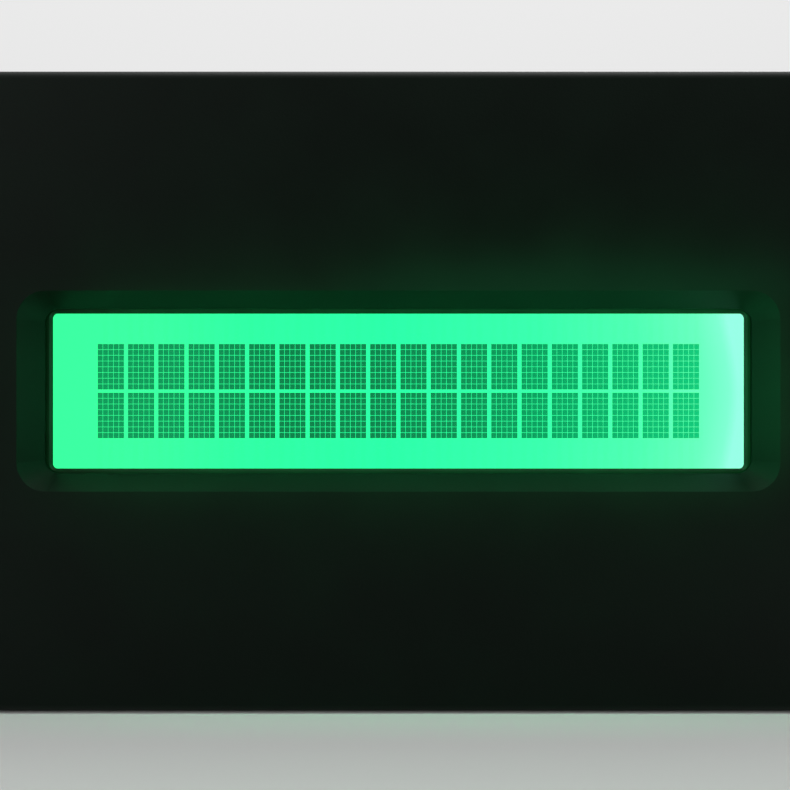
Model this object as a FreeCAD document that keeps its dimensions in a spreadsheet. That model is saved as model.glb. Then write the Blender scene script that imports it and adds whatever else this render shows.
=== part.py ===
# A character display unit: a two-line dot-matrix liquid crystal module behind a dark moulded bezel.
# The window faces -Y, +X is to the viewer's right and +Z is up. The origin is the centre of the
# rear mounting plane, level with the ends of the four corner bosses. A "depth" is always measured
# backwards from the front face of the bezel. All sizes are in millimetres.
import FreeCAD, Part
import Sketcher
import math
import os

# Counts of a 20 by 2 display with 5 by 8 dots in each character
characters = 20
lines = 2
dot_columns = 5
dot_rows = 8
header_pins = 16
gussets = 4
lamps = 3
resistors = 8
capacitors = 4
dome_sides = 28
dome_bands = 4
edge_tolerance = 1e-6

# Driving sizes, one sheet cell each
sizes = {
    # Dots and the window that shows them
    "dot_width": 0.60,
    "dot_height": 0.65,
    "dot_gap": 0.05,
    "character_gap": 0.50,
    "line_gap": 0.40,
    "view_margin_side": 4.75,
    "view_margin_top": 3.55,
    "view_radius": 0.6,
    # Liquid crystal cell
    "glass_thickness": 1.1,
    "film_thickness": 0.02,
    "cell_gap": 0.06,
    "polarizer_thickness": 0.2,
    "seal_margin_side": 5.5,
    "seal_margin_top": 0.15,
    "seal_width": 0.8,
    "glass_end_margin": 0.6,
    "glass_edge_margin": 0.15,
    "front_polarizer_inset": 1.5,
    "rear_polarizer_inset": 0.65,
    "rear_polarizer_end": 1.5,
    "electrode_overrun": 0.3,
    "electrode_inset": 0.2,
    "port_width": 2.0,
    "plug_reach": 1.0,
    "plug_rise": 0.3,
    "plug_chamfer": 0.2,
    # Conductive rubber strips between the glass ledges and the board
    "strip_width": 1.8,
    "strip_clearance": 0.2,
    "strip_inset": 0.1,
    "strip_end": 2.4,
    # Folded metal frame
    "frame_clearance": 0.4,
    "frame_sheet": 0.5,
    "frame_gap": 0.1,
    "frame_bend": 0.8,
    "frame_slit": 0.4,
    "frame_chamfer": 0.2,
    "tab_width": 2.4,
    "tab_head": 1.4,
    "tab_twist": 38,
    "tab_inner_offset": 14.0,
    "tab_outer_offset": 40.0,
    "slot_clearance": 0.25,
    # Backlight
    "backlight_gap": 0.25,
    "diffuser_thickness": 0.2,
    "guide_thickness": 3.0,
    "guide_gap": 0.2,
    "guide_clearance": 0.1,
    "reflector_thickness": 0.15,
    "tray_wall": 0.8,
    "tray_floor": 0.7,
    "tray_clearance": 0.15,
    "led_thickness": 1.0,
    "led_width": 3.0,
    "led_depth": 2.2,
    "led_pitch": 6.0,
    "led_board_thickness": 1.0,
    "led_board_inset": 0.9,
    "lead_side": 0.5,
    "lead_hole_radius": 0.45,
    "lead_clearance": 0.15,
    "lead_offset": 3.0,
    "lead_tail": 1.2,
    # Circuit board and what is soldered to its rear
    "board_thickness": 1.6,
    "board_corner": 1.0,
    "hole_edge": 4.0,
    "hole_rise": 0.8,
    "pin_pitch": 2.54,
    "pin_side": 0.64,
    "pin_hole_radius": 0.5,
    "pin_clearance": 0.02,
    "pin_tail": 1.2,
    "pin_reach": 6.0,
    "pin_tip": 0.18,
    "header_width": 2.54,
    "header_height": 2.54,
    "header_notch": 0.5,
    "header_clearance": 0.1,
    "header_end": 12.0,
    "controller_radius": 7.0,
    "driver_radius": 6.0,
    "blob_height": 1.6,
    "blob_drop": 1.0,
    "driver_clearance": 3.95,
    "driver_pitch": 30.0,
    "controller_pitch": 34.0,
    "chip_length": 2.0,
    "chip_width": 1.25,
    "resistor_height": 0.5,
    "capacitor_height": 0.85,
    "chip_cap": 0.4,
    "chip_cap_rise": 0.05,
    "resistor_pitch": 2.6,
    "resistor_start": 18.0,
    "resistor_rise": 9.0,
    "capacitor_pitch": 3.0,
    "feed_length": 3.2,
    "feed_width": 1.6,
    "feed_height": 0.6,
    "feed_edge": 7.5,
    # Moulded bezel
    "bezel_wall": 3.2,
    "rim_wall": 2.0,
    "edge_fillet": 1.2,
    "lip_reveal": 0.5,
    "lip_radius": 1.6,
    "lip_land": 0.3,
    "bevel_width": 1.7,
    "boss_radius": 3.5,
    "boss_merge": 0.5,
    "boss_clearance": 1.2,
    "corner_offset_side": 4.0,
    "corner_offset_top": 13.5,
    "mount_pilot_radius": 1.25,
    "mount_pilot_depth": 10.0,
    "gusset_thickness": 1.2,
    "gusset_clearance": 0.6,
    "gusset_height": 8.0,
    "gusset_pitch": 30.0,
    "rear_room": 3.1,
    # Screws that hold the module
    "screw_core": 1.2,
    "screw_bite": 6.0,
    "screw_head_radius": 2.6,
    "screw_head_height": 2.0,
    "screw_head_chamfer": 0.7,
    "screw_hole_clearance": 0.4,
    "pilot_clearance": 0.05,
    "pilot_spare": 1.0,
    "recess_width": 0.7,
    "recess_span": 2.8,
    "recess_depth": 1.1,
}

# Sizes and places that follow from the driving sizes
layout = {
    "character_width": f"{dot_columns} * Sizes.dot_width + {dot_columns - 1} * Sizes.dot_gap",
    "character_height": f"{dot_rows} * Sizes.dot_height + {dot_rows - 1} * Sizes.dot_gap",
    "active_half_x": f"({characters} * Layout.character_width + {characters - 1} * Sizes.character_gap) / 2",
    "active_half_z": f"({lines} * Layout.character_height + {lines - 1} * Sizes.line_gap) / 2",
    "view_half_x": "Layout.active_half_x + Sizes.view_margin_side",
    "view_half_z": "Layout.active_half_z + Sizes.view_margin_top",
    "seal_inner_x": "Layout.view_half_x + Sizes.seal_margin_side",
    "seal_inner_z": "Layout.view_half_z + Sizes.seal_margin_top",
    "seal_outer_x": "Layout.seal_inner_x + Sizes.seal_width",
    "seal_outer_z": "Layout.seal_inner_z + Sizes.seal_width",
    "glass_half_x": "Layout.seal_outer_x + Sizes.glass_end_margin",
    "rear_glass_half_z": "Layout.seal_outer_z + Sizes.glass_edge_margin",
    "rear_polarizer_x": "Layout.glass_half_x - Sizes.rear_polarizer_end",
    "rear_polarizer_z": "Layout.rear_glass_half_z - Sizes.rear_polarizer_inset",
    "cavity_half_x": "Layout.rear_polarizer_x + Sizes.tray_clearance",
    "cavity_half_z": "Layout.rear_polarizer_z + Sizes.tray_clearance",
    "tray_half_x": "Layout.cavity_half_x + Sizes.tray_wall",
    "tray_half_z": "Layout.cavity_half_z + Sizes.tray_wall",
    "strip_inner_z": "Layout.tray_half_z + Sizes.strip_clearance",
    "strip_half_x": "Layout.glass_half_x - Sizes.strip_end",
    "front_glass_half_z": "Layout.strip_inner_z + Sizes.strip_width + Sizes.strip_inset",
    "frame_inner_x": "Layout.glass_half_x + Sizes.frame_clearance",
    "frame_inner_z": "Layout.front_glass_half_z + Sizes.frame_clearance",
    "frame_outer_x": "Layout.frame_inner_x + Sizes.frame_sheet",
    "frame_outer_z": "Layout.frame_inner_z + Sizes.frame_sheet",
    "tab_z": "Layout.frame_inner_z + Sizes.frame_sheet / 2",
    "hole_x": "Layout.frame_outer_x + Sizes.boss_clearance + Sizes.boss_radius",
    "hole_z": "Layout.frame_outer_z + Sizes.hole_rise",
    "hole_radius": "Sizes.screw_core + Sizes.screw_hole_clearance",
    "board_half_x": "Layout.hole_x + Sizes.hole_edge",
    "board_half_z": "Layout.hole_z + Sizes.hole_edge",
    "corner_boss_x": "Layout.board_half_x + Sizes.corner_offset_side",
    "corner_boss_z": "Layout.board_half_z + Sizes.corner_offset_top",
    "corner_inner_radius": "Sizes.boss_radius - Sizes.boss_merge",
    "corner_outer_radius": "Layout.corner_inner_radius + Sizes.rim_wall",
    "room_half_x": "Layout.corner_boss_x + Layout.corner_inner_radius",
    "room_half_z": "Layout.corner_boss_z + Layout.corner_inner_radius",
    "unit_half_x": "Layout.room_half_x + Sizes.rim_wall",
    "unit_half_z": "Layout.room_half_z + Sizes.rim_wall",
    "lip_half_x": "Layout.view_half_x + Sizes.lip_reveal",
    "lip_half_z": "Layout.view_half_z + Sizes.lip_reveal",
    "header_z": "Layout.tab_z + (Sizes.tab_width + Sizes.header_width) / 2 + Sizes.header_clearance",
    "header_x": "Sizes.header_end - Layout.board_half_x",
    "led_board_x": "Layout.cavity_half_x - Sizes.tray_clearance - Sizes.led_board_thickness",
    "led_x": "Layout.led_board_x - Sizes.led_thickness",
    "guide_end_x": "Layout.led_x - Sizes.guide_gap",
    "guide_start_x": "Sizes.guide_clearance - Layout.cavity_half_x",
    "guide_half_z": "Layout.cavity_half_z - Sizes.guide_clearance",
    "lead_x": "Layout.led_board_x + Sizes.led_board_thickness / 2",
    "right_driver_x": "Layout.lead_x - Sizes.lead_hole_radius - Sizes.driver_clearance - Sizes.driver_radius",
    "left_driver_x": "Layout.right_driver_x - Sizes.driver_pitch",
    "controller_x": "Layout.left_driver_x - Sizes.controller_pitch",
    "frame_depth": "Sizes.bezel_wall + Sizes.frame_gap",
    "front_polarizer_depth": "Layout.frame_depth + Sizes.frame_sheet",
    "front_glass_depth": "Layout.front_polarizer_depth + Sizes.polarizer_thickness",
    "column_depth": "Layout.front_glass_depth + Sizes.glass_thickness",
    "crystal_depth": "Layout.column_depth + Sizes.film_thickness",
    "row_depth": "Layout.crystal_depth + Sizes.cell_gap",
    "rear_glass_depth": "Layout.row_depth + Sizes.film_thickness",
    "rear_polarizer_depth": "Layout.rear_glass_depth + Sizes.glass_thickness",
    "diffuser_depth": "Layout.rear_polarizer_depth + Sizes.polarizer_thickness + Sizes.backlight_gap",
    "guide_depth": "Layout.diffuser_depth + Sizes.diffuser_thickness",
    "reflector_depth": "Layout.guide_depth + Sizes.guide_thickness",
    "floor_depth": "Layout.reflector_depth + Sizes.reflector_thickness",
    "board_depth": "Layout.floor_depth + Sizes.tray_floor",
    "board_rear": "Layout.board_depth + Sizes.board_thickness",
    "unit_depth": "Layout.board_rear + Sizes.rear_room",
    "module_pilot_radius": "Sizes.screw_core + Sizes.pilot_clearance",
    "module_pilot_depth": "Sizes.screw_bite + Sizes.pilot_spare",
}

doc = FreeCAD.newDocument("CharacterDisplay")
sheet = doc.addObject("Spreadsheet::Sheet", "Sizes")
for row, (alias, size) in enumerate(sizes.items(), start=1):
    sheet.set(f"A{row}", alias)
    sheet.set(f"B{row}", str(size))
    sheet.setAlias(f"B{row}", alias)
doc.recompute()

derived = doc.addObject("App::VarSet", "Layout")
for name, expression in layout.items():
    derived.addProperty("App::PropertyFloat", name, "Layout")
    derived.setExpression(name, expression)
doc.recompute()

nodes = []


def number(expression):
    return float(derived.evalExpression(expression))


def at_depth(depth):
    return f"{depth} - Layout.unit_depth"


def keep(node, name):
    node.Label = name
    nodes.append(node)
    return node


# Sketch helpers. Every sketch lies in its body's XZ plane, whose normal points forwards, to -Y.
def new_body(name, depth):
    body = doc.addObject("PartDesign::Body", name)
    body.setExpression("Placement.Base.y", at_depth(depth))
    return keep(body, name)


def origin_plane(body, role):
    return next(part for part in body.Origin.OriginFeatures if part.Role == role)


def new_sketch(body, name, depth="0"):
    sketch = body.newObject("Sketcher::SketchObject", name)
    sketch.AttachmentSupport = [(origin_plane(body, "XZ_Plane"), "")]
    sketch.MapMode = "FlatFace"
    sketch.setExpression("AttachmentOffset.Base.z", f"-({depth})")
    return sketch


def bind(sketch, kind, reference, expression):
    index = sketch.addConstraint(Sketcher.Constraint(kind, *reference, number(expression)))
    sketch.setExpression(f"Constraints[{index}]", expression)


def place(sketch, edge, end, x, z):
    bind(sketch, "DistanceX", (-1, 1, edge, end), x)
    bind(sketch, "DistanceY", (-1, 1, edge, end), z)


def circle(sketch, x, z, radius):
    center = FreeCAD.Vector(number(x), number(z), 0)
    edge = sketch.addGeometry(Part.Circle(center, FreeCAD.Vector(0, 0, 1), number(radius)), False)
    place(sketch, edge, 3, x, z)
    bind(sketch, "Radius", (edge,), radius)


def closed_lines(sketch, points):
    corners = [FreeCAD.Vector(number(x), number(z), 0) for x, z in points]
    ends = corners[1:] + corners[:1]
    return [sketch.addGeometry(Part.LineSegment(*pair), False) for pair in zip(corners, ends)]


def polygon(sketch, points):
    edges = closed_lines(sketch, points)
    for i, edge in enumerate(edges):
        sketch.addConstraint(Sketcher.Constraint("Coincident", edge, 2, edges[(i + 1) % len(edges)], 1))
        place(sketch, edge, 1, *points[i])


def octagon(sketch, half_x, half_z, cut):
    polygon(sketch, [(f"{half_x} - {cut}", f"-{half_z}"), (half_x, f"{cut} - {half_z}"),
                     (half_x, f"{half_z} - {cut}"), (f"{half_x} - {cut}", half_z),
                     (f"{cut} - {half_x}", half_z), (f"-{half_x}", f"{half_z} - {cut}"),
                     (f"-{half_x}", f"{cut} - {half_z}"), (f"{cut} - {half_x}", f"-{half_z}")])


def rectangle(sketch, left, right, bottom, top):
    edges = closed_lines(sketch, [(left, bottom), (right, bottom), (right, top), (left, top)])
    for i, edge in enumerate(edges):
        sketch.addConstraint(Sketcher.Constraint("Coincident", edge, 2, edges[(i + 1) % 4], 1))
        sketch.addConstraint(Sketcher.Constraint("Vertical" if i % 2 else "Horizontal", edge))
    place(sketch, edges[0], 1, left, bottom)
    place(sketch, edges[2], 1, right, top)


def centered_rectangle(sketch, x, z, width, height):
    rectangle(sketch, f"{x} - {width} / 2", f"{x} + {width} / 2", f"{z} - {height} / 2", f"{z} + {height} / 2")


def rounded_rectangle(sketch, half_x, half_z, radius):
    x, z, r = number(half_x), number(half_z), number(radius)
    edges = []
    turns = ((1, -1), (1, 1), (-1, 1), (-1, -1))
    for i, (side_x, side_z) in enumerate(turns):
        start = -math.pi / 2 + i * math.pi / 2
        center = FreeCAD.Vector(side_x * (x - r), side_z * (z - r), 0)
        corner = Part.ArcOfCircle(Part.Circle(center, FreeCAD.Vector(0, 0, 1), r), start, start + math.pi / 2)
        next_x, next_z = turns[(i + 1) % 4]
        arrive = FreeCAD.Vector(next_x * (x - r), next_z * (z - r), 0)
        outward = FreeCAD.Vector(math.cos(start + math.pi / 2), math.sin(start + math.pi / 2), 0) * r
        edges.append(sketch.addGeometry(corner, False))
        edges.append(sketch.addGeometry(Part.LineSegment(center + outward, arrive + outward), False))
    for i, edge in enumerate(edges):
        sketch.addConstraint(Sketcher.Constraint("Tangent", edge, 2, edges[(i + 1) % 8], 1))
    for i, edge in enumerate(edges[1::2]):
        sketch.addConstraint(Sketcher.Constraint("Horizontal" if i % 2 else "Vertical", edge))
    for edge in edges[2::2]:
        sketch.addConstraint(Sketcher.Constraint("Equal", edges[0], edge))
    bind(sketch, "Radius", (edges[0],), radius)
    place(sketch, edges[0], 3, f"{half_x} - {radius}", f"{radius} - {half_z}")
    place(sketch, edges[4], 3, f"{radius} - {half_x}", f"{half_z} - {radius}")


# Feature helpers. A pad grows backwards from its sketch and a pocket cuts backwards.
def pad(body, name, sketch, length):
    feature = body.newObject("PartDesign::Pad", name)
    feature.Profile = sketch
    feature.Reversed = True
    feature.setExpression("Length", length)
    sketch.Visibility = False
    return feature


def pocket(body, name, sketch, length=None):
    feature = body.newObject("PartDesign::Pocket", name)
    feature.Profile = sketch
    if length:
        feature.setExpression("Length", length)
    else:
        feature.Type = "ThroughAll"
    return feature


def row_pattern(body, name, feature, axis_holder, length, count):
    pattern = body.newObject("PartDesign::LinearPattern", name)
    pattern.Originals = [feature]
    pattern.Direction = axis_holder
    pattern.setExpression("Length", length)
    pattern.Occurrences = count
    body.Tip = pattern
    return pattern


def edges_at(shape, wanted):
    return [f"Edge{i}" for i, edge in enumerate(shape.Edges, start=1) if wanted(edge.BoundBox)]


# Flat plates and blocks
def block(name, left, depth, bottom, length, thickness, height):
    made = doc.addObject("Part::Box", name)
    made.setExpression("Length", length)
    made.setExpression("Width", thickness)
    made.setExpression("Height", height)
    made.setExpression("Placement.Base.x", left)
    made.setExpression("Placement.Base.y", at_depth(depth))
    made.setExpression("Placement.Base.z", bottom)
    return made


def plate(name, half_x, half_z, depth, thickness):
    return block(name, f"-{half_x}", depth, f"-{half_z}", f"2 * {half_x}", thickness, f"2 * {half_z}")


def code_made(name, shape):
    made = doc.addObject("Part::Feature", name)
    made.Shape = shape
    return keep(made, name)


def bar(x0, x1, depth, thickness, z0, z1):
    corner = FreeCAD.Vector(min(x0, x1), depth - number("Layout.unit_depth"), min(z0, z1))
    return Part.makeBox(abs(x1 - x0), thickness, abs(z1 - z0), corner)


# Front bezel: a shallow moulded tray, open at the rear, with a bevelled window and eight bosses
bezel = new_body("front_bezel", "0")
outline = new_sketch(bezel, "BezelOutline")
rounded_rectangle(outline, "Layout.unit_half_x", "Layout.unit_half_z", "Layout.corner_outer_radius")
pad(bezel, "BezelBlock", outline, "Layout.unit_depth")
room = new_sketch(bezel, "RoomOutline", "Sizes.bezel_wall")
rounded_rectangle(room, "Layout.room_half_x", "Layout.room_half_z", "Layout.corner_inner_radius")
pocket(bezel, "Room", room)
lip = new_sketch(bezel, "LipOutline")
rounded_rectangle(lip, "Layout.lip_half_x", "Layout.lip_half_z", "Sizes.lip_radius")
window = pocket(bezel, "Window", lip)
doc.recompute()
window_reach = number("(Layout.lip_half_x + Layout.unit_half_x) / 2")
bevel = bezel.newObject("PartDesign::Chamfer", "WindowBevel")
bevel.Base = (window, edges_at(window.Shape, lambda b: b.YMax < edge_tolerance and abs(b.XMin) < window_reach
                               and abs(b.XMax) < window_reach))
bevel.ChamferType = "Two distances"
bevel.setExpression("Size", "Sizes.bevel_width")
bevel.setExpression("Size2", "Sizes.bezel_wall - Sizes.lip_land")
doc.recompute()
outer_reach = number("(Layout.lip_half_z + Sizes.bevel_width + Layout.unit_half_z) / 2")
rounding = bezel.newObject("PartDesign::Fillet", "FrontEdge")
rounding.Base = (bevel, edges_at(bevel.Shape, lambda b: b.YMax < edge_tolerance and (
    b.ZMax > outer_reach or b.ZMin < -outer_reach or b.XMax > window_reach + number("Sizes.bevel_width")
    or b.XMin < -window_reach - number("Sizes.bevel_width"))))
rounding.setExpression("Radius", "Sizes.edge_fillet")

corner_places = [(f"{a}Layout.corner_boss_x", f"{b}Layout.corner_boss_z") for a in ("-", "") for b in ("-", "")]
module_places = [(f"{a}Layout.hole_x", f"{b}Layout.hole_z") for a in ("-", "") for b in ("-", "")]
corner_bosses = new_sketch(bezel, "CornerBossCircles", "Sizes.bezel_wall")
module_bosses = new_sketch(bezel, "ModuleBossCircles", "Sizes.bezel_wall")
corner_pilots = new_sketch(bezel, "CornerPilotCircles", "Layout.unit_depth - Sizes.mount_pilot_depth")
module_pilots = new_sketch(bezel, "ModulePilotCircles", "Layout.board_depth - Layout.module_pilot_depth")
for x, z in corner_places:
    circle(corner_bosses, x, z, "Sizes.boss_radius")
    circle(corner_pilots, x, z, "Sizes.mount_pilot_radius")
for x, z in module_places:
    circle(module_bosses, x, z, "Sizes.boss_radius")
    circle(module_pilots, x, z, "Layout.module_pilot_radius")
pad(bezel, "CornerBosses", corner_bosses, "Layout.unit_depth - Sizes.bezel_wall")
pad(bezel, "ModuleBosses", module_bosses, "Layout.board_depth - Sizes.bezel_wall")
pocket(bezel, "CornerPilots", corner_pilots)
pocket(bezel, "ModulePilots", module_pilots)

# Triangular gussets stiffen the long rims, clear of the circuit board's edges
gusset = bezel.newObject("Sketcher::SketchObject", "GussetTriangles")
gusset.AttachmentSupport = [(origin_plane(bezel, "YZ_Plane"), "")]
gusset.MapMode = "FlatFace"
gusset.setExpression("AttachmentOffset.Base.z", f"-{gussets - 1} * Sizes.gusset_pitch / 2")
for side in (1, -1):
    foot = f"{side} * (Layout.board_half_z + Sizes.gusset_clearance)"
    wall = f"{side} * Layout.room_half_z"
    polygon(gusset, [("Sizes.bezel_wall", foot), ("Sizes.bezel_wall", wall),
                     ("Sizes.bezel_wall + Sizes.gusset_height", wall)])
gusset_pad = bezel.newObject("PartDesign::Pad", "Gusset")
gusset_pad.Profile = gusset
gusset_pad.SideType = "Symmetric"
gusset_pad.setExpression("Length", "Sizes.gusset_thickness")
doc.recompute()
row_pattern(bezel, "GussetRow", gusset_pad, (gusset, ["N_Axis"]), f"{gussets - 1} * Sizes.gusset_pitch", gussets)

# Metal frame: folded from one sheet, with slit corners and tabs that are twisted behind the board
frame = new_body("metal_frame", "Layout.frame_depth")
frame_height = "(Layout.board_depth - Layout.frame_depth)"
sheet_outline = new_sketch(frame, "FrameOutline")
rectangle(sheet_outline, "-Layout.frame_outer_x", "Layout.frame_outer_x",
          "-Layout.frame_outer_z", "Layout.frame_outer_z")
frame_block = pad(frame, "FrameBlock", sheet_outline, frame_height)
doc.recompute()
bend = frame.newObject("PartDesign::Fillet", "Bend")
bend.Base = (frame_block, edges_at(frame_block.Shape, lambda b: b.YMax < edge_tolerance))
bend.setExpression("Radius", "Sizes.frame_bend")
hollow = new_sketch(frame, "FrameRoom", "Sizes.frame_sheet")
rectangle(hollow, "-Layout.frame_inner_x", "Layout.frame_inner_x", "-Layout.frame_inner_z", "Layout.frame_inner_z")
pocket(frame, "Hollow", hollow)
opening = new_sketch(frame, "FrameWindow")
rounded_rectangle(opening, "Layout.view_half_x", "Layout.view_half_z", "Sizes.view_radius")
frame_window = pocket(frame, "ViewOpening", opening)
doc.recompute()
window_edge = frame.newObject("PartDesign::Chamfer", "WindowEdge")
view_reach = number("(Layout.view_half_x + Layout.seal_inner_x) / 2")
window_edge.Base = (frame_window, edges_at(frame_window.Shape, lambda b: b.YMax < edge_tolerance and abs(b.XMin) < view_reach
                                           and abs(b.XMax) < view_reach))
window_edge.setExpression("Size", "Sizes.frame_chamfer")
slits = new_sketch(frame, "CornerSlits", "Sizes.frame_bend")
for side in (1, -1):
    near, far = f"{side} * Layout.frame_inner_x", f"{side} * (Layout.frame_outer_x + Sizes.frame_sheet)"
    left, right = (near, far) if side > 0 else (far, near)
    rectangle(slits, left, right, "Layout.frame_inner_z - Sizes.frame_slit", "Layout.frame_inner_z")
    rectangle(slits, left, right, "-Layout.frame_inner_z", "Sizes.frame_slit - Layout.frame_inner_z")
pocket(frame, "Slits", slits)

tab_places = [(f"{a}Sizes.tab_{which}_offset", f"{b}Layout.tab_z")
              for a in ("-", "") for which in ("inner", "outer") for b in ("-", "")]
necks = new_sketch(frame, "TabNecks", frame_height)
for x, z in tab_places:
    centered_rectangle(necks, x, z, "Sizes.tab_width", "Sizes.frame_sheet")
pad(frame, "Necks", necks, "Sizes.board_thickness")
for count, (x, z) in enumerate(tab_places, start=1):
    straight = new_sketch(frame, f"TabRoot{count}", f"{frame_height} + Sizes.board_thickness")
    turned = new_sketch(frame, f"TabEnd{count}", f"{frame_height} + Sizes.board_thickness + Sizes.tab_head")
    turned.setExpression("AttachmentOffset.Rotation.Angle", "Sizes.tab_twist")
    for section in (straight, turned):
        section.setExpression("AttachmentOffset.Base.x", x)
        section.setExpression("AttachmentOffset.Base.y", z)
        centered_rectangle(section, "0", "0", "Sizes.tab_width", "Sizes.frame_sheet")
    head = frame.newObject("PartDesign::AdditiveLoft", f"TabHead{count}")
    head.Profile = straight
    head.Sections = [turned]
    head.Ruled = True

# Liquid crystal cell, from front to rear
keep(plate("front_polarizer", "(Layout.glass_half_x - Sizes.front_polarizer_inset)",
           "(Layout.front_glass_half_z - Sizes.front_polarizer_inset)",
           "Layout.front_polarizer_depth", "Sizes.polarizer_thickness"), "front_polarizer")
keep(plate("front_glass", "Layout.glass_half_x", "Layout.front_glass_half_z",
           "Layout.front_glass_depth", "Sizes.glass_thickness"), "front_glass")

dot_pitch_x = number("Sizes.dot_width + Sizes.dot_gap")
dot_pitch_z = number("Sizes.dot_height + Sizes.dot_gap")
character_pitch = number("Layout.character_width + Sizes.character_gap")
line_pitch = number("Layout.character_height + Sizes.line_gap")
film = number("Sizes.film_thickness")

# Column electrodes cross both lines and lead to the upper and lower glass ledges in turn
columns = []
inner_end = number("Layout.active_half_z + Sizes.electrode_overrun")
ledge_end = number("Layout.front_glass_half_z - Sizes.electrode_inset")
for index in range(characters * dot_columns):
    character, dot = divmod(index, dot_columns)
    left = -number("Layout.active_half_x") + character * character_pitch + dot * dot_pitch_x
    side = 1 if index % 2 else -1
    columns.append(bar(left, left + number("Sizes.dot_width"), number("Layout.column_depth"), film,
                       -side * inner_end, side * ledge_end))
code_made("column_electrodes", Part.makeCompound(columns))

keep(plate("liquid_crystal", "Layout.seal_inner_x", "Layout.seal_inner_z",
           "Layout.crystal_depth", "Sizes.cell_gap"), "liquid_crystal")

# The seal is a printed ring with a filling port at its left end
seal = new_body("cell_seal", "Layout.crystal_depth")
ring = new_sketch(seal, "SealRing")
rectangle(ring, "-Layout.seal_outer_x", "Layout.seal_outer_x", "-Layout.seal_outer_z", "Layout.seal_outer_z")
rectangle(ring, "-Layout.seal_inner_x", "Layout.seal_inner_x", "-Layout.seal_inner_z", "Layout.seal_inner_z")
pad(seal, "Ring", ring, "Sizes.cell_gap")
port = new_sketch(seal, "FillingPort")
rectangle(port, "-Layout.glass_half_x", "-Layout.seal_inner_x", "-Sizes.port_width / 2", "Sizes.port_width / 2")
pocket(seal, "Port", port)

# A bead of resin fills the port and stands a little proud of the glass ends
crystal_depth, cell_gap = number("Layout.crystal_depth"), number("Sizes.cell_gap")
glass_end, rise, reach = number("-Layout.glass_half_x"), number("Sizes.plug_rise"), number("Sizes.plug_reach")
port_half = number("Sizes.port_width / 2")
neck = bar(glass_end, number("-Layout.seal_inner_x"), crystal_depth, cell_gap, -port_half, port_half)
bead = bar(glass_end - rise, glass_end, crystal_depth + cell_gap / 2 - reach, 2 * reach, -reach, reach)
bead = bead.makeChamfer(number("Sizes.plug_chamfer"),
                        [edge for edge in bead.Edges if edge.BoundBox.XMax < glass_end - rise / 2])
code_made("fill_port_plug", neck.fuse(bead).removeSplitter().Solids[0])

# Row electrodes lie across the columns and lead to the left and right ends in turn
rows = []
far_end = number("Layout.seal_outer_x - Sizes.electrode_inset")
near_end = number("Layout.active_half_x + Sizes.electrode_overrun")
for index in range(lines * dot_rows):
    line, dot = divmod(index, dot_rows)
    bottom = -number("Layout.active_half_z") + line * line_pitch + dot * dot_pitch_z
    side = 1 if index % 2 else -1
    rows.append(bar(-side * near_end, side * far_end, number("Layout.row_depth"), film,
                    bottom, bottom + number("Sizes.dot_height")))
code_made("row_electrodes", Part.makeCompound(rows))

keep(plate("rear_glass", "Layout.glass_half_x", "Layout.rear_glass_half_z",
           "Layout.rear_glass_depth", "Sizes.glass_thickness"), "rear_glass")
keep(plate("rear_polarizer", "Layout.rear_polarizer_x", "Layout.rear_polarizer_z",
           "Layout.rear_polarizer_depth", "Sizes.polarizer_thickness"), "rear_polarizer")

# Conductive rubber strips join the ledge contacts to the board
for name, bottom in (("upper_zebra_strip", "Layout.strip_inner_z"),
                     ("lower_zebra_strip", "-Layout.strip_inner_z - Sizes.strip_width")):
    keep(block(name, "-Layout.strip_half_x", "Layout.crystal_depth", bottom, "2 * Layout.strip_half_x",
               "Layout.board_depth - Layout.crystal_depth", "Sizes.strip_width"), name)

# Backlight: a clear guide lit at its right end, between a diffuser and a white reflector
for name, depth, thickness in (("diffuser_sheet", "Layout.diffuser_depth", "Sizes.diffuser_thickness"),
                               ("light_guide", "Layout.guide_depth", "Sizes.guide_thickness"),
                               ("reflector_sheet", "Layout.reflector_depth", "Sizes.reflector_thickness")):
    keep(block(name, "Layout.guide_start_x", depth, "-Layout.guide_half_z",
               "Layout.guide_end_x - Layout.guide_start_x", thickness, "2 * Layout.guide_half_z"), name)

led_board_reach = "(Layout.cavity_half_z - Sizes.led_board_inset)"
keep(block("led_board", "Layout.led_board_x", "Layout.guide_depth", f"-{led_board_reach}",
           "Sizes.led_board_thickness", "Layout.floor_depth - Layout.guide_depth",
           f"2 * {led_board_reach}"), "led_board")
lamp_blocks = []
for index in range(lamps):
    lamp_blocks.append(block(f"Led{index + 1}", "Layout.led_x",
                             "Layout.guide_depth + (Sizes.guide_thickness - Sizes.led_depth) / 2",
                             f"{index - (lamps - 1) / 2} * Sizes.led_pitch - Sizes.led_width / 2",
                             "Sizes.led_thickness", "Sizes.led_depth", "Sizes.led_width"))
led_group = doc.addObject("Part::Compound", "LedGroup")
led_group.Links = lamp_blocks
keep(led_group, "led_chips")

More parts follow.
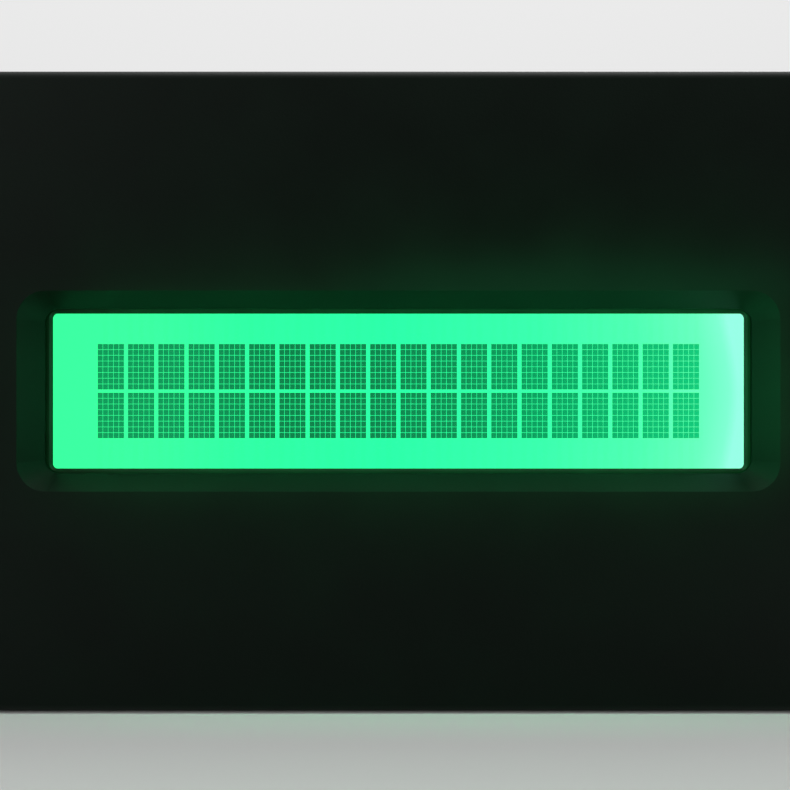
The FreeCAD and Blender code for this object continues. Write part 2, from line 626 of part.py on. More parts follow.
# The tray's walls carry the rear glass, and a slot in its floor lets the lamp leads through
tray = new_body("backlight_tray", "Layout.rear_polarizer_depth")
tray_height = "(Layout.board_depth - Layout.rear_polarizer_depth)"
tray_outline = new_sketch(tray, "TrayOutline")
rectangle(tray_outline, "-Layout.tray_half_x", "Layout.tray_half_x", "-Layout.tray_half_z", "Layout.tray_half_z")
pad(tray, "TrayBlock", tray_outline, tray_height)
cavity = new_sketch(tray, "TrayCavity")
rectangle(cavity, "-Layout.cavity_half_x", "Layout.cavity_half_x", "-Layout.cavity_half_z", "Layout.cavity_half_z")
pocket(tray, "Cavity", cavity, f"{tray_height} - Sizes.tray_floor")
lead_slot = new_sketch(tray, "LeadSlot")
centered_rectangle(lead_slot, "Layout.lead_x", "0", "(Sizes.lead_side + 2 * Sizes.lead_clearance)",
                   "(2 * Sizes.lead_offset + Sizes.lead_side + 2 * Sizes.lead_clearance)")
pocket(tray, "LeadCut", lead_slot)

# Two square leads feed the lamps through the tray and the board
leads = []
for count, side in enumerate(("-", ""), start=1):
    leads.append(block(f"Lead{count}", "Layout.lead_x - Sizes.lead_side / 2", "Layout.floor_depth",
                       f"{side}Sizes.lead_offset - Sizes.lead_side / 2", "Sizes.lead_side",
                       "Layout.board_rear + Sizes.lead_tail - Layout.floor_depth", "Sizes.lead_side"))
lead_group = doc.addObject("Part::Compound", "LeadGroup")
lead_group.Links = leads
keep(lead_group, "backlight_leads")


def to_first_pin(sketch):
    sketch.setExpression("AttachmentOffset.Base.x", "Layout.header_x")
    sketch.setExpression("AttachmentOffset.Base.y", "Layout.header_z")


# Circuit board. The sixteen pin holes have eight sides each, to keep repeated faces few.
board = new_body("circuit_board", "Layout.board_depth")
board_outline = new_sketch(board, "BoardOutline")
rounded_rectangle(board_outline, "Layout.board_half_x", "Layout.board_half_z", "Sizes.board_corner")
pad(board, "Laminate", board_outline, "Sizes.board_thickness")
holes = new_sketch(board, "RoundHoles")
for x, z in module_places:
    circle(holes, x, z, "Layout.hole_radius")
for side in ("-", ""):
    circle(holes, "Layout.lead_x", f"{side}Sizes.lead_offset", "Sizes.lead_hole_radius")
pocket(board, "Drilling", holes)
slots = new_sketch(board, "TabSlots")
for x, z in tab_places:
    centered_rectangle(slots, x, z, "(Sizes.tab_width + 2 * Sizes.slot_clearance)",
                       "(Sizes.frame_sheet + 2 * Sizes.slot_clearance)")
pocket(board, "Slots", slots)
pin_hole = new_sketch(board, "PinHole")
to_first_pin(pin_hole)
octagon(pin_hole, "Sizes.pin_hole_radius", "Sizes.pin_hole_radius", "Sizes.pin_hole_radius * (2 - sqrt(2))")
pin_cut = pocket(board, "PinCut", pin_hole)
doc.recompute()
header_length = f"{header_pins - 1} * Sizes.pin_pitch"
row_pattern(board, "PinHoles", pin_cut, (pin_hole, ["H_Axis"]), header_length, header_pins)

# Pin header: one notched plastic strip, and pins that taper at both ends
header = new_body("header_body", "Layout.board_rear")
unit = new_sketch(header, "HeaderUnit")
to_first_pin(unit)
octagon(unit, "Sizes.pin_pitch / 2", "Sizes.header_width / 2", "Sizes.header_notch")
pin_opening = "(Sizes.pin_side + Sizes.pin_clearance)"
centered_rectangle(unit, "0", "0", pin_opening, pin_opening)
header_unit = pad(header, "HeaderUnitPad", unit, "Sizes.header_height")
doc.recompute()
row_pattern(header, "HeaderRow", header_unit, (unit, ["H_Axis"]), header_length, header_pins)


pins = []
pin_start = number("Layout.board_depth - Sizes.pin_tail")
pin_end = number("Layout.board_rear + Sizes.header_height + Sizes.pin_reach")
pin_half, pin_z = number("Sizes.pin_side / 2"), number("Layout.header_z")
for index in range(header_pins):
    x = number("Layout.header_x") + index * number("Sizes.pin_pitch")
    pin = bar(x - pin_half, x + pin_half, pin_start, pin_end - pin_start, pin_z - pin_half, pin_z + pin_half)
    tips = [edge for edge in pin.Edges if edge.BoundBox.YLength < pin_half]
    pins.append(pin.makeChamfer(number("Sizes.pin_tip"), tips))
code_made("header_pins", Part.makeCompound(pins))


# Resin domes over the bare controller and driver dies, with flat facets
def dome(name, x, radius):
    center_x, center_z, radius = number(x), -number("Sizes.blob_drop"), number(radius)
    height, base = number("Sizes.blob_height"), number("Layout.board_rear - Layout.unit_depth")
    ball = (radius ** 2 + height ** 2) / (2 * height)
    reach = math.asin(radius / ball)
    turns = [2 * math.pi * k / dome_sides for k in range(dome_sides)]
    rings = []
    for band in range(dome_bands):
        angle = reach * (1 - band / dome_bands)
        ring, rise = ball * math.sin(angle), ball * math.cos(angle) - ball + height
        rings.append([FreeCAD.Vector(center_x + ring * math.cos(turn), base + rise, center_z + ring * math.sin(turn))
                      for turn in turns])
    facets = [rings[0]]
    for low, high in zip(rings, rings[1:]):
        facets += [[low[k - 1], low[k], high[k], high[k - 1]] for k in range(dome_sides)]
    top = FreeCAD.Vector(center_x, base + height, center_z)
    facets += [[rings[-1][k - 1], rings[-1][k], top] for k in range(dome_sides)]
    shell = Part.makeShell([Part.Face(Part.makePolygon(facet + facet[:1])) for facet in facets])
    solid = Part.makeSolid(shell)
    code_made(name, solid if solid.Volume > 0 else solid.reversed())


dome("controller_blob", "Layout.controller_x", "Sizes.controller_radius")
dome("left_driver_blob", "Layout.left_driver_x", "Sizes.driver_radius")
dome("right_driver_blob", "Layout.right_driver_x", "Sizes.driver_radius")


# Chip parts: a ceramic block whose metal end caps are a little fatter than it, fused into one solid
def chip(x, z, length, width, height):
    depth = number("Layout.board_rear")
    cap, rise = number("Sizes.chip_cap"), number("Sizes.chip_cap_rise")
    ceramic = bar(x - width / 2 + rise, x + width / 2 - rise, depth + rise, height - 2 * rise,
                  z - length / 2, z + length / 2)
    ends = [bar(x - width / 2, x + width / 2, depth, height, z + end * length / 2, z + end * (length / 2 - cap))
            for end in (-1, 1)]
    return ceramic.multiFuse(ends).removeSplitter().Solids[0]


def chip_row(name, count, first_x, pitch, z, height):
    chips = [chip(number(first_x) + index * number(pitch), number(z), number("Sizes.chip_length"),
                  number("Sizes.chip_width"), number(height)) for index in range(count)]
    code_made(name, Part.makeCompound(chips))


chip_row("chip_resistors", resistors, "-Sizes.resistor_start", "Sizes.resistor_pitch",
         "Sizes.resistor_rise", "Sizes.resistor_height")
capacitor_start = f"(Layout.left_driver_x + Layout.right_driver_x - {capacitors - 1} * Sizes.capacitor_pitch) / 2"
chip_row("chip_capacitors", capacitors, capacitor_start, "Sizes.capacitor_pitch",
         "-Sizes.blob_drop", "Sizes.capacitor_height")
code_made("backlight_resistor", chip(number("Layout.board_half_x - Sizes.feed_edge"), 0, number("Sizes.feed_length"),
                                     number("Sizes.feed_width"), number("Sizes.feed_height")))

# Pan head screws with a cross recess, one in each module boss
head = Part.makeCylinder(number("Sizes.screw_head_radius"), number("Sizes.screw_head_height"))
head = head.makeChamfer(number("Sizes.screw_head_chamfer"),
                        [edge for edge in head.Edges if edge.BoundBox.ZMin > number("Sizes.screw_head_height") - edge_tolerance])
shank_length = number("Sizes.board_thickness + Sizes.screw_bite")
shank = Part.makeCylinder(number("Sizes.screw_core"), shank_length, FreeCAD.Vector(0, 0, -shank_length))
span, recess = number("Sizes.recess_span"), number("Sizes.recess_width")
floor = number("Sizes.screw_head_height - Sizes.recess_depth")
arms = [Part.makeBox(long, wide, number("Sizes.recess_depth"), FreeCAD.Vector(-long / 2, -wide / 2, floor))
        for long, wide in ((span, recess), (recess, span))]
screw = head.fuse(shank).removeSplitter().cut(arms[0].fuse(arms[1]).removeSplitter())
backwards = FreeCAD.Rotation(FreeCAD.Vector(1, 0, 0), -90)
screws = []
for x, z in module_places:
    seat = FreeCAD.Vector(number(x), number("Layout.board_rear - Layout.unit_depth"), number(z))
    copy = screw.copy()
    copy.Placement = FreeCAD.Placement(seat, backwards)
    screws.append(copy.Solids[0])
code_made("module_screws", Part.makeCompound(screws))

doc.recompute()
for made in doc.Objects:
    faults = [state for state in made.State if state in ("Invalid", "Error")]
    if faults:
        raise RuntimeError(f"{made.Label} did not build: {faults}")
for node in nodes:
    if node.Shape.isNull() or not node.Shape.isValid():
        raise RuntimeError(f"{node.Label} has no valid shape")

os.makedirs("parts", exist_ok=True)
for node in nodes:
    node.Shape.exportStep(f"parts/{node.Label}.step")
    print(f"{node.Label}: {len(node.Shape.Solids)} solid(s), {node.Shape.Volume:.2f} cubic mm")
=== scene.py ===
import math

import bpy
import bmesh
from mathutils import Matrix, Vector, noise


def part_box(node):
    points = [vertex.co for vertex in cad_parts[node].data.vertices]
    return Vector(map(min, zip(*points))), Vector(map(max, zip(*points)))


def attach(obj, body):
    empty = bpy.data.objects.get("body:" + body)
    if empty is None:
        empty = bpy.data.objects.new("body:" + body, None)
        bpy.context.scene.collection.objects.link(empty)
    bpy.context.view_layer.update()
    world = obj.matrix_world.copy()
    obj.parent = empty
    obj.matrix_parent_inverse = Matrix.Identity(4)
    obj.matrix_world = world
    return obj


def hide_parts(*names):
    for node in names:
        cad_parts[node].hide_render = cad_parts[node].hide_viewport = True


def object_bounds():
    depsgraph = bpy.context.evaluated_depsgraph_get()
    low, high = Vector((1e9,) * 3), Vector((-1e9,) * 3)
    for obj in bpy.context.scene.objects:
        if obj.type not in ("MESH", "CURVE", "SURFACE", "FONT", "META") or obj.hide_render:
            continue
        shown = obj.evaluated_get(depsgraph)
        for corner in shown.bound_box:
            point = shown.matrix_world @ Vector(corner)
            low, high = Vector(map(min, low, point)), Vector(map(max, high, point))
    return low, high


# Looks for the backlit character display. The window faces -Y and everything is in metres.
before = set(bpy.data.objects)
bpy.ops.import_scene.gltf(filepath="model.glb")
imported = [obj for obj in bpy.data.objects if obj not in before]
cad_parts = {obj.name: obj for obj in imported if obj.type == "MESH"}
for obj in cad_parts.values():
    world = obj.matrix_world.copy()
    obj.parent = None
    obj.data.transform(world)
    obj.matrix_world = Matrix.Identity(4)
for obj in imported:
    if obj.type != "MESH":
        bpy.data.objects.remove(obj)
cadLow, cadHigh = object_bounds()
print("frame loaded:", len(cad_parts), "nodes")

mm = 0.001
toneSpan = (0.3, 0.7)  # the middle of a noise's range, which a colour ramp spreads over


def linearColor(red, green, blue):  # from the 0-255 values of a picture
    def channel(value):
        share = value / 255
        return share / 12.92 if share <= 0.04045 else ((share + 0.055) / 1.055) ** 2.4
    return channel(red), channel(green), channel(blue), 1.0


def shade(color, factor):
    return tuple(min(1.0, part * factor) for part in color[:3]) + (1.0,)


def newMaterial(name):
    material = bpy.data.materials.new(name)
    material.use_nodes = True
    return material, material.node_tree.nodes["Principled BSDF"]


# The owner of a node is a material or the world
def addNode(owner, kind, values=None, **settings):
    node = owner.node_tree.nodes.new(kind)
    for key, value in settings.items():
        setattr(node, key, value)
    for key, value in (values or {}).items():
        node.inputs[key].default_value = value
    return node


def wire(owner, *links):  # each link is a node and its output, then a node and its input
    for outNode, outName, inNode, inName in links:
        owner.node_tree.links.new(outNode.outputs[outName], inNode.inputs[inName])


def splitPlace(owner, output="Object"):  # the place on the object, or another vector, axis by axis
    place = addNode(owner, "ShaderNodeTexCoord")
    split = addNode(owner, "ShaderNodeSeparateXYZ")
    wire(owner, (place, output, split, "Vector"))
    return split


def addMath(owner, operation, values=None):
    return addNode(owner, "ShaderNodeMath", values, operation=operation)


def addNoise(material, scale, detail=2.0, roughness=0.5, stretch=(1, 1, 1)):
    place = addNode(material, "ShaderNodeTexCoord")
    mapping = addNode(material, "ShaderNodeMapping", {"Scale": stretch})
    values = {"Scale": scale, "Detail": detail, "Roughness": roughness}
    texture = addNode(material, "ShaderNodeTexNoise", values)
    wire(material, (place, "Object", mapping, "Vector"), (mapping, "Vector", texture, "Vector"))
    return texture


def addRamp(material, stops):
    ramp = addNode(material, "ShaderNodeValToRGB")
    while len(ramp.color_ramp.elements) < len(stops):
        ramp.color_ramp.elements.new(0.5)
    for element, (position, color) in zip(ramp.color_ramp.elements, stops):
        element.position = position
        element.color = color
    return ramp


def addTones(material, source, color, drift):  # a colour that drifts darker and lighter with the source
    ramp = addRamp(material, [(toneSpan[0], shade(color, 1 - drift)), (toneSpan[1], shade(color, 1 + drift))])
    wire(material, (source, "Fac", ramp, "Fac"))
    return ramp


# A value between start and end becomes one between low and high
def addSpread(owner, source, output, low=0.0, high=1.0, start=0.0, end=1.0, smooth=False):
    values = {"From Min": start, "From Max": end, "To Min": low, "To Max": high}
    kind = "SMOOTHSTEP" if smooth else "LINEAR"
    spread = addNode(owner, "ShaderNodeMapRange", values, interpolation_type=kind)
    wire(owner, (source, output, spread, "Value"))
    return spread


def addBump(material, source, output, strength, depth, shader):
    bump = addNode(material, "ShaderNodeBump", {"Strength": strength, "Distance": depth})
    wire(material, (source, output, bump, "Height"), (bump, "Normal", shader, "Normal"))


def blendColors(material, choice, first, second, shader):  # the second where the choice is 1
    blend = addNode(material, "ShaderNodeMix", data_type="RGBA")
    wire(material, (choice, "Value", blend, 0), (first, "Color", blend, 6), (blend, 2, shader, "Base Color"))
    if isinstance(second, tuple):
        blend.inputs[7].default_value = second
    else:
        wire(material, (second, "Color", blend, 7))


# One recipe for most finishes: two drifting tones, drifting roughness and, where there is a grain, a fine
# bump. tone is scale and drift, gloss is roughness and its drift, grain is scale, strength and depth in mm.
def makeFinish(name, look):
    material, shader = newMaterial(name)
    toneScale, toneDrift = look["tone"]
    roughness, roughDrift = look["gloss"]
    tone = addNoise(material, toneScale, look.get("toneDetail", 3.0))
    tones = addTones(material, tone, linearColor(*look["color"]), toneDrift)
    spread = addSpread(material, tone, "Fac", roughness - roughDrift, roughness + roughDrift)
    wire(material, (tones, "Color", shader, "Base Color"), (spread, "Result", shader, "Roughness"))
    if "grain" in look:
        grainScale, strength, depth = look["grain"]
        grain = addNoise(material, grainScale, roughness=0.6, stretch=look.get("stretch", (1, 1, 1)))
        addBump(material, grain, "Fac", strength, depth * mm, shader)
    shader.inputs["Metallic"].default_value = look.get("metal", 0.0)
    shader.inputs["Specular IOR Level"].default_value = look.get("specular", 0.5)
    shader.inputs["Coat Weight"].default_value = look.get("coat", 0.0)
    shader.inputs["Coat Roughness"].default_value = look.get("coatRoughness", 0.1)
    shader.inputs["Alpha"].default_value = look.get("alpha", 1.0)
    return material


finishes = {
    # The bezel is near-black plastic; the green in its colour is painted green glow from the lit window.
    "bezelPlastic": {"color": (3, 14, 7), "tone": (90, 0.2), "gloss": (0.5, 0.06),
                     "grain": (3800, 0.25, 0.06), "specular": 0.09},
    "zebraRubber": {"color": (60, 60, 60), "tone": (4000, 0.5), "gloss": (0.7, 0.05),
                    "grain": (5000, 0.2, 0.03), "stretch": (1, 0.02, 0.02)},
    "sealResin": {"color": (30, 34, 31), "tone": (900, 0.06), "gloss": (0.3, 0.05),
                  "grain": (3000, 0.1, 0.02)},
    "whitePlastic": {"color": (228, 232, 226), "tone": (120, 0.03), "gloss": (0.5, 0.05),
                     "grain": (3000, 0.1, 0.04)},
    "whiteFilm": {"color": (236, 240, 236), "tone": (200, 0.02), "gloss": (0.4, 0.04),
                  "grain": (4000, 0.05, 0.02)},
    "guideAcrylic": {"color": (150, 240, 190), "tone": (60, 0.05), "gloss": (0.15, 0.03),
                     "grain": (1200, 0.03, 0.02)},
    "lampBody": {"color": (226, 236, 200), "tone": (900, 0.05), "gloss": (0.3, 0.05),
                 "grain": (2500, 0.06, 0.02)},
    "headerPlastic": {"color": (22, 22, 23), "tone": (500, 0.15), "gloss": (0.45, 0.08),
                      "grain": (5200, 0.16, 0.03), "specular": 0.4},
    "goldPlate": {"color": (230, 186, 104), "tone": (700, 0.08), "gloss": (0.24, 0.08),
                  "grain": (2600, 0.06, 0.02), "metal": 1.0, "stretch": (4, 0.3, 4)},
    "tinSolder": {"color": (196, 198, 196), "tone": (1200, 0.08), "gloss": (0.28, 0.1),
                  "grain": (3500, 0.15, 0.03), "metal": 1.0},
    "blackResin": {"color": (15, 15, 16), "tone": (350, 0.2), "gloss": (0.36, 0.08),
                   "grain": (1100, 0.12, 0.06), "coat": 0.2, "coatRoughness": 0.16, "specular": 0.3},
    "tinPad": {"color": (205, 206, 202), "tone": (900, 0.06), "gloss": (0.34, 0.08),
               "grain": (3000, 0.1, 0.02), "metal": 1.0},
    "zincScrew": {"color": (186, 190, 196), "tone": (800, 0.06), "gloss": (0.3, 0.1),
                  "grain": (2400, 0.1, 0.03), "metal": 1.0},
    # Painted shade in the screws' cross recess: the same zinc, darker.
    "recessShade": {"color": (74, 76, 80), "tone": (900, 0.1), "gloss": (0.45, 0.08),
                    "grain": (2400, 0.1, 0.03), "metal": 1.0},
    "whiteInk": {"color": (224, 228, 222), "tone": (1500, 0.05), "gloss": (0.6, 0.08),
                 "grain": (6000, 0.2, 0.01)},
    # Clear layers of the window
    "polarizerFilm": {"color": (20, 60, 36), "tone": (60, 0.1), "toneDetail": 2.0, "gloss": (0.3, 0.06),
                      "alpha": 0.03, "specular": 0.06},
    "cellGlass": {"color": (120, 170, 140), "tone": (40, 0.1), "toneDetail": 2.0, "gloss": (0.05, 0.01),
                  "alpha": 0.01, "specular": 0.02},
    "clearElectrode": {"color": (60, 120, 90), "tone": (300, 0.1), "toneDetail": 2.0, "gloss": (0.1, 0.02),
                       "alpha": 0.015, "specular": 0.02},
}
made = {name: makeFinish(name, look) for name, look in finishes.items()}
print("plain finishes made:", len(made))


# The lit field: green light from lamps at the right end, whitest beside them, shaped across the window
litLook = {
    "left": -41.5 * mm,
    "right": 41.5 * mm,
    "halfHeight": 9.3 * mm,
    "strength": 1.35,
    "stops": [(0.0, (62, 255, 168)), (0.14, (63, 255, 169)), (0.28, (51, 255, 171)), (0.50, (46, 255, 176)),
              (0.72, (61, 255, 180)), (0.86, (82, 255, 185)), (0.95, (109, 255, 198)),
              (0.985, (132, 255, 217)), (1.0, (158, 255, 238))],
    "cloud": 0.012,
    "cloudScale": 55,
    "cornerRise": 0.014,
}
glowBody = linearColor(2, 6, 5)  # what the lit field and the dots show of the light that falls on them


def positionShare(material, axis, low, high):  # 0 at low and 1 at high along one axis
    return addSpread(material, splitPlace(material), axis, start=low, end=high)


def litColor(red, green, blue):  # as it looks once green is brighter than a picture can show
    parts = linearColor(red, green, blue)
    return parts[0] / litLook["strength"], parts[1], parts[2] / litLook["strength"], 1.0


def makeGlow(name, strength):
    material, shader = newMaterial(name)
    shader.inputs["Emission Strength"].default_value = strength
    shader.inputs["Base Color"].default_value = glowBody
    shader.inputs["Specular IOR Level"].default_value = 0.0
    return material, shader


def makeLitField(look):
    material, shader = makeGlow("litField", look["strength"])
    share = positionShare(material, "X", look["left"], look["right"])
    height = positionShare(material, "Z", 0, look["halfHeight"])
    height.clamp = False
    rise = addMath(material, "MULTIPLY")
    corner = addMath(material, "MULTIPLY", {1: look["cornerRise"]})
    lifted = addMath(material, "ADD")
    cloud = addNoise(material, look["cloudScale"], detail=1.0)
    drift = addSpread(material, cloud, "Fac", -look["cloud"], look["cloud"])
    total = addMath(material, "ADD")
    ramp = addRamp(material, [(position, litColor(*color)) for position, color in look["stops"]])
    wire(material, (height, "Result", rise, 0), (height, "Result", rise, 1), (rise, "Value", corner, 0),
         (share, "Result", lifted, 0), (corner, "Value", lifted, 1), (lifted, "Value", total, 0),
         (drift, "Result", total, 1), (total, "Value", ramp, "Fac"),
         (ramp, "Color", shader, "Emission Color"))
    return material


# The dots: the same light held back, less and less towards the lamps
dotLook = {
    "left": -36.75 * mm,
    "right": 36.75 * mm,
    "stops": [(0.0, (16, 156, 92)), (0.15, (17, 148, 89)), (0.31, (15, 125, 74)), (0.46, (16, 127, 77)),
              (0.62, (15, 142, 86)), (0.77, (9, 166, 101)), (0.87, (12, 181, 110)), (1.0, (19, 202, 125))],
    "unevenness": 0.025,
    "speckleScale": 1500,
}


def makeDotInk(look):
    material, shader = makeGlow("dotInk", 1.0)
    share = positionShare(material, "X", look["left"], look["right"])
    ramp = addRamp(material, [(position, linearColor(*color)) for position, color in look["stops"]])
    speckle = addNoise(material, look["speckleScale"], detail=1.0)
    level = addSpread(material, speckle, "Fac", 1 - look["unevenness"], 1 + look["unevenness"])
    scaled = addNode(material, "ShaderNodeVectorMath", operation="SCALE")
    wire(material, (share, "Result", ramp, "Fac"), (ramp, "Color", scaled, "Vector"),
         (level, "Result", scaled, "Scale"), (scaled, "Vector", shader, "Emission Color"))
    return material


# Solder mask over laminate: green on the faces, straw-coloured where the board is cut. Under the mask lies
# glass cloth: two sets of threads, unevenly strong.
boardLook = {
    "thread": 0.55 * mm,
    "cloudScale": 240,
    "cloth": (0.6, 0.5),
    "maskDrift": 0.1,
    "fibreScale": 2600,
    "fibreStretch": (0.2, 6, 0.2),
    "cutStops": ((0.35, 0.65), (0.65, 1.15)),
    "faceFrom": 0.7,
    "gloss": (0.7, 0.27),
    "bump": 0.15,
    "bumpDepth": 0.02 * mm,
    "coat": 0.35,
    "coatRoughness": 0.12,
}


def addWeave(material, look):
    split = splitPlace(material)
    cross = addMath(material, "MULTIPLY")
    uneven = addMath(material, "MULTIPLY")
    for slot, axis in enumerate(("X", "Z")):
        phase = addMath(material, "MULTIPLY", {1: 2 * math.pi / look["thread"]})
        wave = addMath(material, "SINE")
        wire(material, (split, axis, phase, 0), (phase, "Value", wave, 0), (wave, "Value", cross, slot))
    cloud = addNoise(material, look["cloudScale"], detail=3.0)
    level = addMath(material, "MULTIPLY_ADD", {1: look["cloth"][0], 2: look["cloth"][1]})
    wire(material, (cross, "Value", uneven, 0), (cloud, "Fac", uneven, 1), (uneven, "Value", level, 0))
    return level


def makeBoard(name, maskColor, edgeColor):
    look = boardLook
    material, shader = newMaterial(name)
    mask = addRamp(material, [(0.0, shade(maskColor, 1 - look["maskDrift"])),
                              (1.0, shade(maskColor, 1 + look["maskDrift"]))])
    fibre = addNoise(material, look["fibreScale"], detail=3.0, roughness=0.6, stretch=look["fibreStretch"])
    cut = addRamp(material, [(position, shade(edgeColor, factor)) for position, factor in look["cutStops"]])
    weave = addWeave(material, look)
    geometry = addNode(material, "ShaderNodeNewGeometry")
    split = addNode(material, "ShaderNodeSeparateXYZ")
    size = addMath(material, "ABSOLUTE")
    facing = addMath(material, "GREATER_THAN", {1: look["faceFrom"]})
    wire(material, (weave, "Value", mask, "Fac"), (fibre, "Fac", cut, "Fac"),
         (geometry, "Normal", split, "Vector"), (split, "Y", size, 0), (size, "Value", facing, 0))
    blendColors(material, facing, cut, mask, shader)
    gloss = addSpread(material, facing, "Value", *look["gloss"])
    wire(material, (gloss, "Result", shader, "Roughness"))
    addBump(material, weave, "Value", look["bump"], look["bumpDepth"], shader)
    shader.inputs["Coat Weight"].default_value = look["coat"]
    shader.inputs["Coat Roughness"].default_value = look["coatRoughness"]
    return material


# Chip parts: glazed ceramic with tinned ends, told apart by height along the chip
chipLook = {"cap": 0.4 * mm, "capColor": linearColor(196, 198, 196), "drift": 0.2, "grainScale": 1800,
            "gloss": (0.25, 0.4)}


def makeChip(name, bodyColor, centerZ, halfBody):
    material, shader = newMaterial(name)
    offset = addMath(material, "SUBTRACT", {1: centerZ})
    reach = addMath(material, "ABSOLUTE")
    ends = addMath(material, "GREATER_THAN", {1: halfBody})
    grain = addNoise(material, chipLook["grainScale"])
    body = addTones(material, grain, bodyColor, chipLook["drift"])
    wire(material, (splitPlace(material), "Z", offset, 0), (offset, "Value", reach, 0),
         (reach, "Value", ends, 0))
    blendColors(material, ends, body, chipLook["capColor"], shader)
    spread = addSpread(material, grain, "Fac", *chipLook["gloss"])
    wire(material, (ends, "Value", shader, "Metallic"), (spread, "Result", shader, "Roughness"))
    return material


# The frame is black-painted steel, and its twisted tabs behind the board show bare metal. Its black is tinted
# green: painted green glow from the lit window on the rim round the window.
frameLook = {"color": (6, 27, 14), "tone": (300, 0.2), "gloss": (0.42, 0.07), "grain": (2200, 0.12, 0.04),
             "specular": 0.1, "bareFrom": -3.5 * mm, "bareColor": linearColor(150, 152, 150)}


def makeFrameMetal(look):
    material = makeFinish("frameMetal", look)
    shader = material.node_tree.nodes["Principled BSDF"]
    painted = shader.inputs["Base Color"].links[0].from_node
    behind = addMath(material, "GREATER_THAN", {1: look["bareFrom"]})
    blendColors(material, behind, painted, look["bareColor"], shader)
    wire(material, (splitPlace(material), "Y", behind, 0), (behind, "Value", shader, "Metallic"))
    return material


maskGreen, trackGreen, areaGreen = linearColor(14, 92, 48), linearColor(30, 122, 62), linearColor(22, 106, 55)
made["frameMetal"] = makeFrameMetal(frameLook)
made["litField"] = makeLitField(litLook)
made["dotInk"] = makeDotInk(dotLook)
made["boardMask"] = makeBoard("boardMask", maskGreen, linearColor(176, 160, 104))
made["trackMask"] = makeBoard("trackMask", trackGreen, trackGreen)
made["areaMask"] = makeBoard("areaMask", areaGreen, areaGreen)
print("window and board finishes made")

# What each carried-over node is made of
nodesOf = {
    "bezelPlastic": "front_bezel", "frameMetal": "metal_frame",
    "polarizerFilm": "front_polarizer rear_polarizer",
    "cellGlass": "front_glass rear_glass", "clearElectrode": "column_electrodes row_electrodes",
    "sealResin": "cell_seal fill_port_plug", "zebraRubber": "upper_zebra_strip lower_zebra_strip",
    "whiteFilm": "diffuser_sheet reflector_sheet", "guideAcrylic": "light_guide", "lampBody": "led_chips",
    "whitePlastic": "backlight_tray", "tinSolder": "backlight_leads", "boardMask": "circuit_board led_board",
    "headerPlastic": "header_body", "goldPlate": "header_pins",
}
chipColors = {"chip_resistors": (24, 24, 26), "backlight_resistor": (24, 24, 26),
              "chip_capacitors": (150, 112, 72)}


def dressNode(name, material):
    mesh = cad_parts[name].data
    mesh.materials.clear()
    mesh.materials.append(material)


for finishName, nodeNames in nodesOf.items():
    for nodeName in nodeNames.split():
        dressNode(nodeName, made[finishName])
for nodeName, chipColor in chipColors.items():
    chipLow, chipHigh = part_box(nodeName)
    centerZ, halfBody = (chipLow.z + chipHigh.z) / 2, (chipHigh.z - chipLow.z) / 2 - chipLook["cap"]
    dressNode(nodeName, makeChip(nodeName + "Look", linearColor(*chipColor), centerZ, halfBody))
print("nodes dressed")


def newPiece(name, shape, finishNames, replaced=()):
    bmesh.ops.recalc_face_normals(shape, faces=shape.faces)
    mesh = bpy.data.meshes.new(name)
    shape.to_mesh(mesh)
    shape.free()
    for finishName in finishNames.split():
        mesh.materials.append(made[finishName])
    piece = bpy.data.objects.new(name, mesh)
    bpy.context.scene.collection.objects.link(piece)
    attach(piece, "root")
    if replaced:
        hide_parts(*replaced)


def addBlock(shape, low, high):
    corners = [shape.verts.new((x, y, z)) for x in (low[0], high[0]) for y in (low[1], high[1])
               for z in (low[2], high[2])]
    for face in ((0, 1, 3, 2), (4, 6, 7, 5), (0, 4, 5, 1), (2, 3, 7, 6), (0, 2, 6, 4), (1, 5, 7, 3)):
        shape.faces.new([corners[i] for i in face])


# A plate between two depths, on an outline of (x, z) points; one that lies on the board needs no front face
def addPlate(shape, outline, front, back, closed=True):
    near = [shape.verts.new((x, front, z)) for x, z in outline]
    far = [shape.verts.new((x, back, z)) for x, z in outline]
    for k in range(len(outline)):
        shape.faces.new([near[k - 1], near[k], far[k], far[k - 1]])
    shape.faces.new(far)
    if closed:
        shape.faces.new(near)


leastMiter = 0.5  # keeps the corner of a sharp turn from reaching out too far


# A flat ribbon along a line of (x, z) points, standing a little off the board
def addRibbon(shape, points, width, back, rise):
    line = [Vector(point) for point in points]
    steps = [(end - start).normalized() for start, end in zip(line, line[1:])]
    rings = []
    for here, before, after in zip(line, steps[:1] + steps, steps + steps[-1:]):
        middle = (before + after).normalized()
        across = Vector((-middle.y, middle.x))
        reach = across * (width / 2 / max(leastMiter, across.dot(Vector((-before.y, before.x)))))
        left, right = here + reach, here - reach
        rings.append([shape.verts.new((side.x, y, side.y)) for side, y in
                      ((left, back), (left, back + rise), (right, back + rise), (right, back))])
    for near, far in zip(rings, rings[1:]):
        for k in range(4):
            shape.faces.new([near[k - 1], near[k], far[k], far[k - 1]])
    shape.faces.new(rings[0][::-1])
    shape.faces.new(rings[-1])


# A turned form about an axis along Y: profile of (radius, y) from the foot to the tip
def addTurned(shape, x, z, profile, sides):
    angles = [2 * math.pi * k / sides for k in range(sides)]
    rings = []
    for radius, y in profile:
        if radius <= 0:
            rings.append([shape.verts.new((x, y, z))] * sides)
        else:
            rings.append([shape.verts.new((x + radius * math.cos(angle), y, z + radius * math.sin(angle)))
                          for angle in angles])
    for low, high in zip(rings, rings[1:]):
        for k in range(sides):
            corners = [low[k - 1], low[k], high[k], high[k - 1]]
            face = [corner for i, corner in enumerate(corners) if corner is not corners[i - 1]]
            if len(face) > 2:
                shape.faces.new(face)


def addRing(shape, x, z, inner, outer, base, rise, sides):
    profile = [(inner, base), (inner, base + rise), (outer, base + rise), (outer, base), (inner, base)]
    addTurned(shape, x, z, profile, sides)


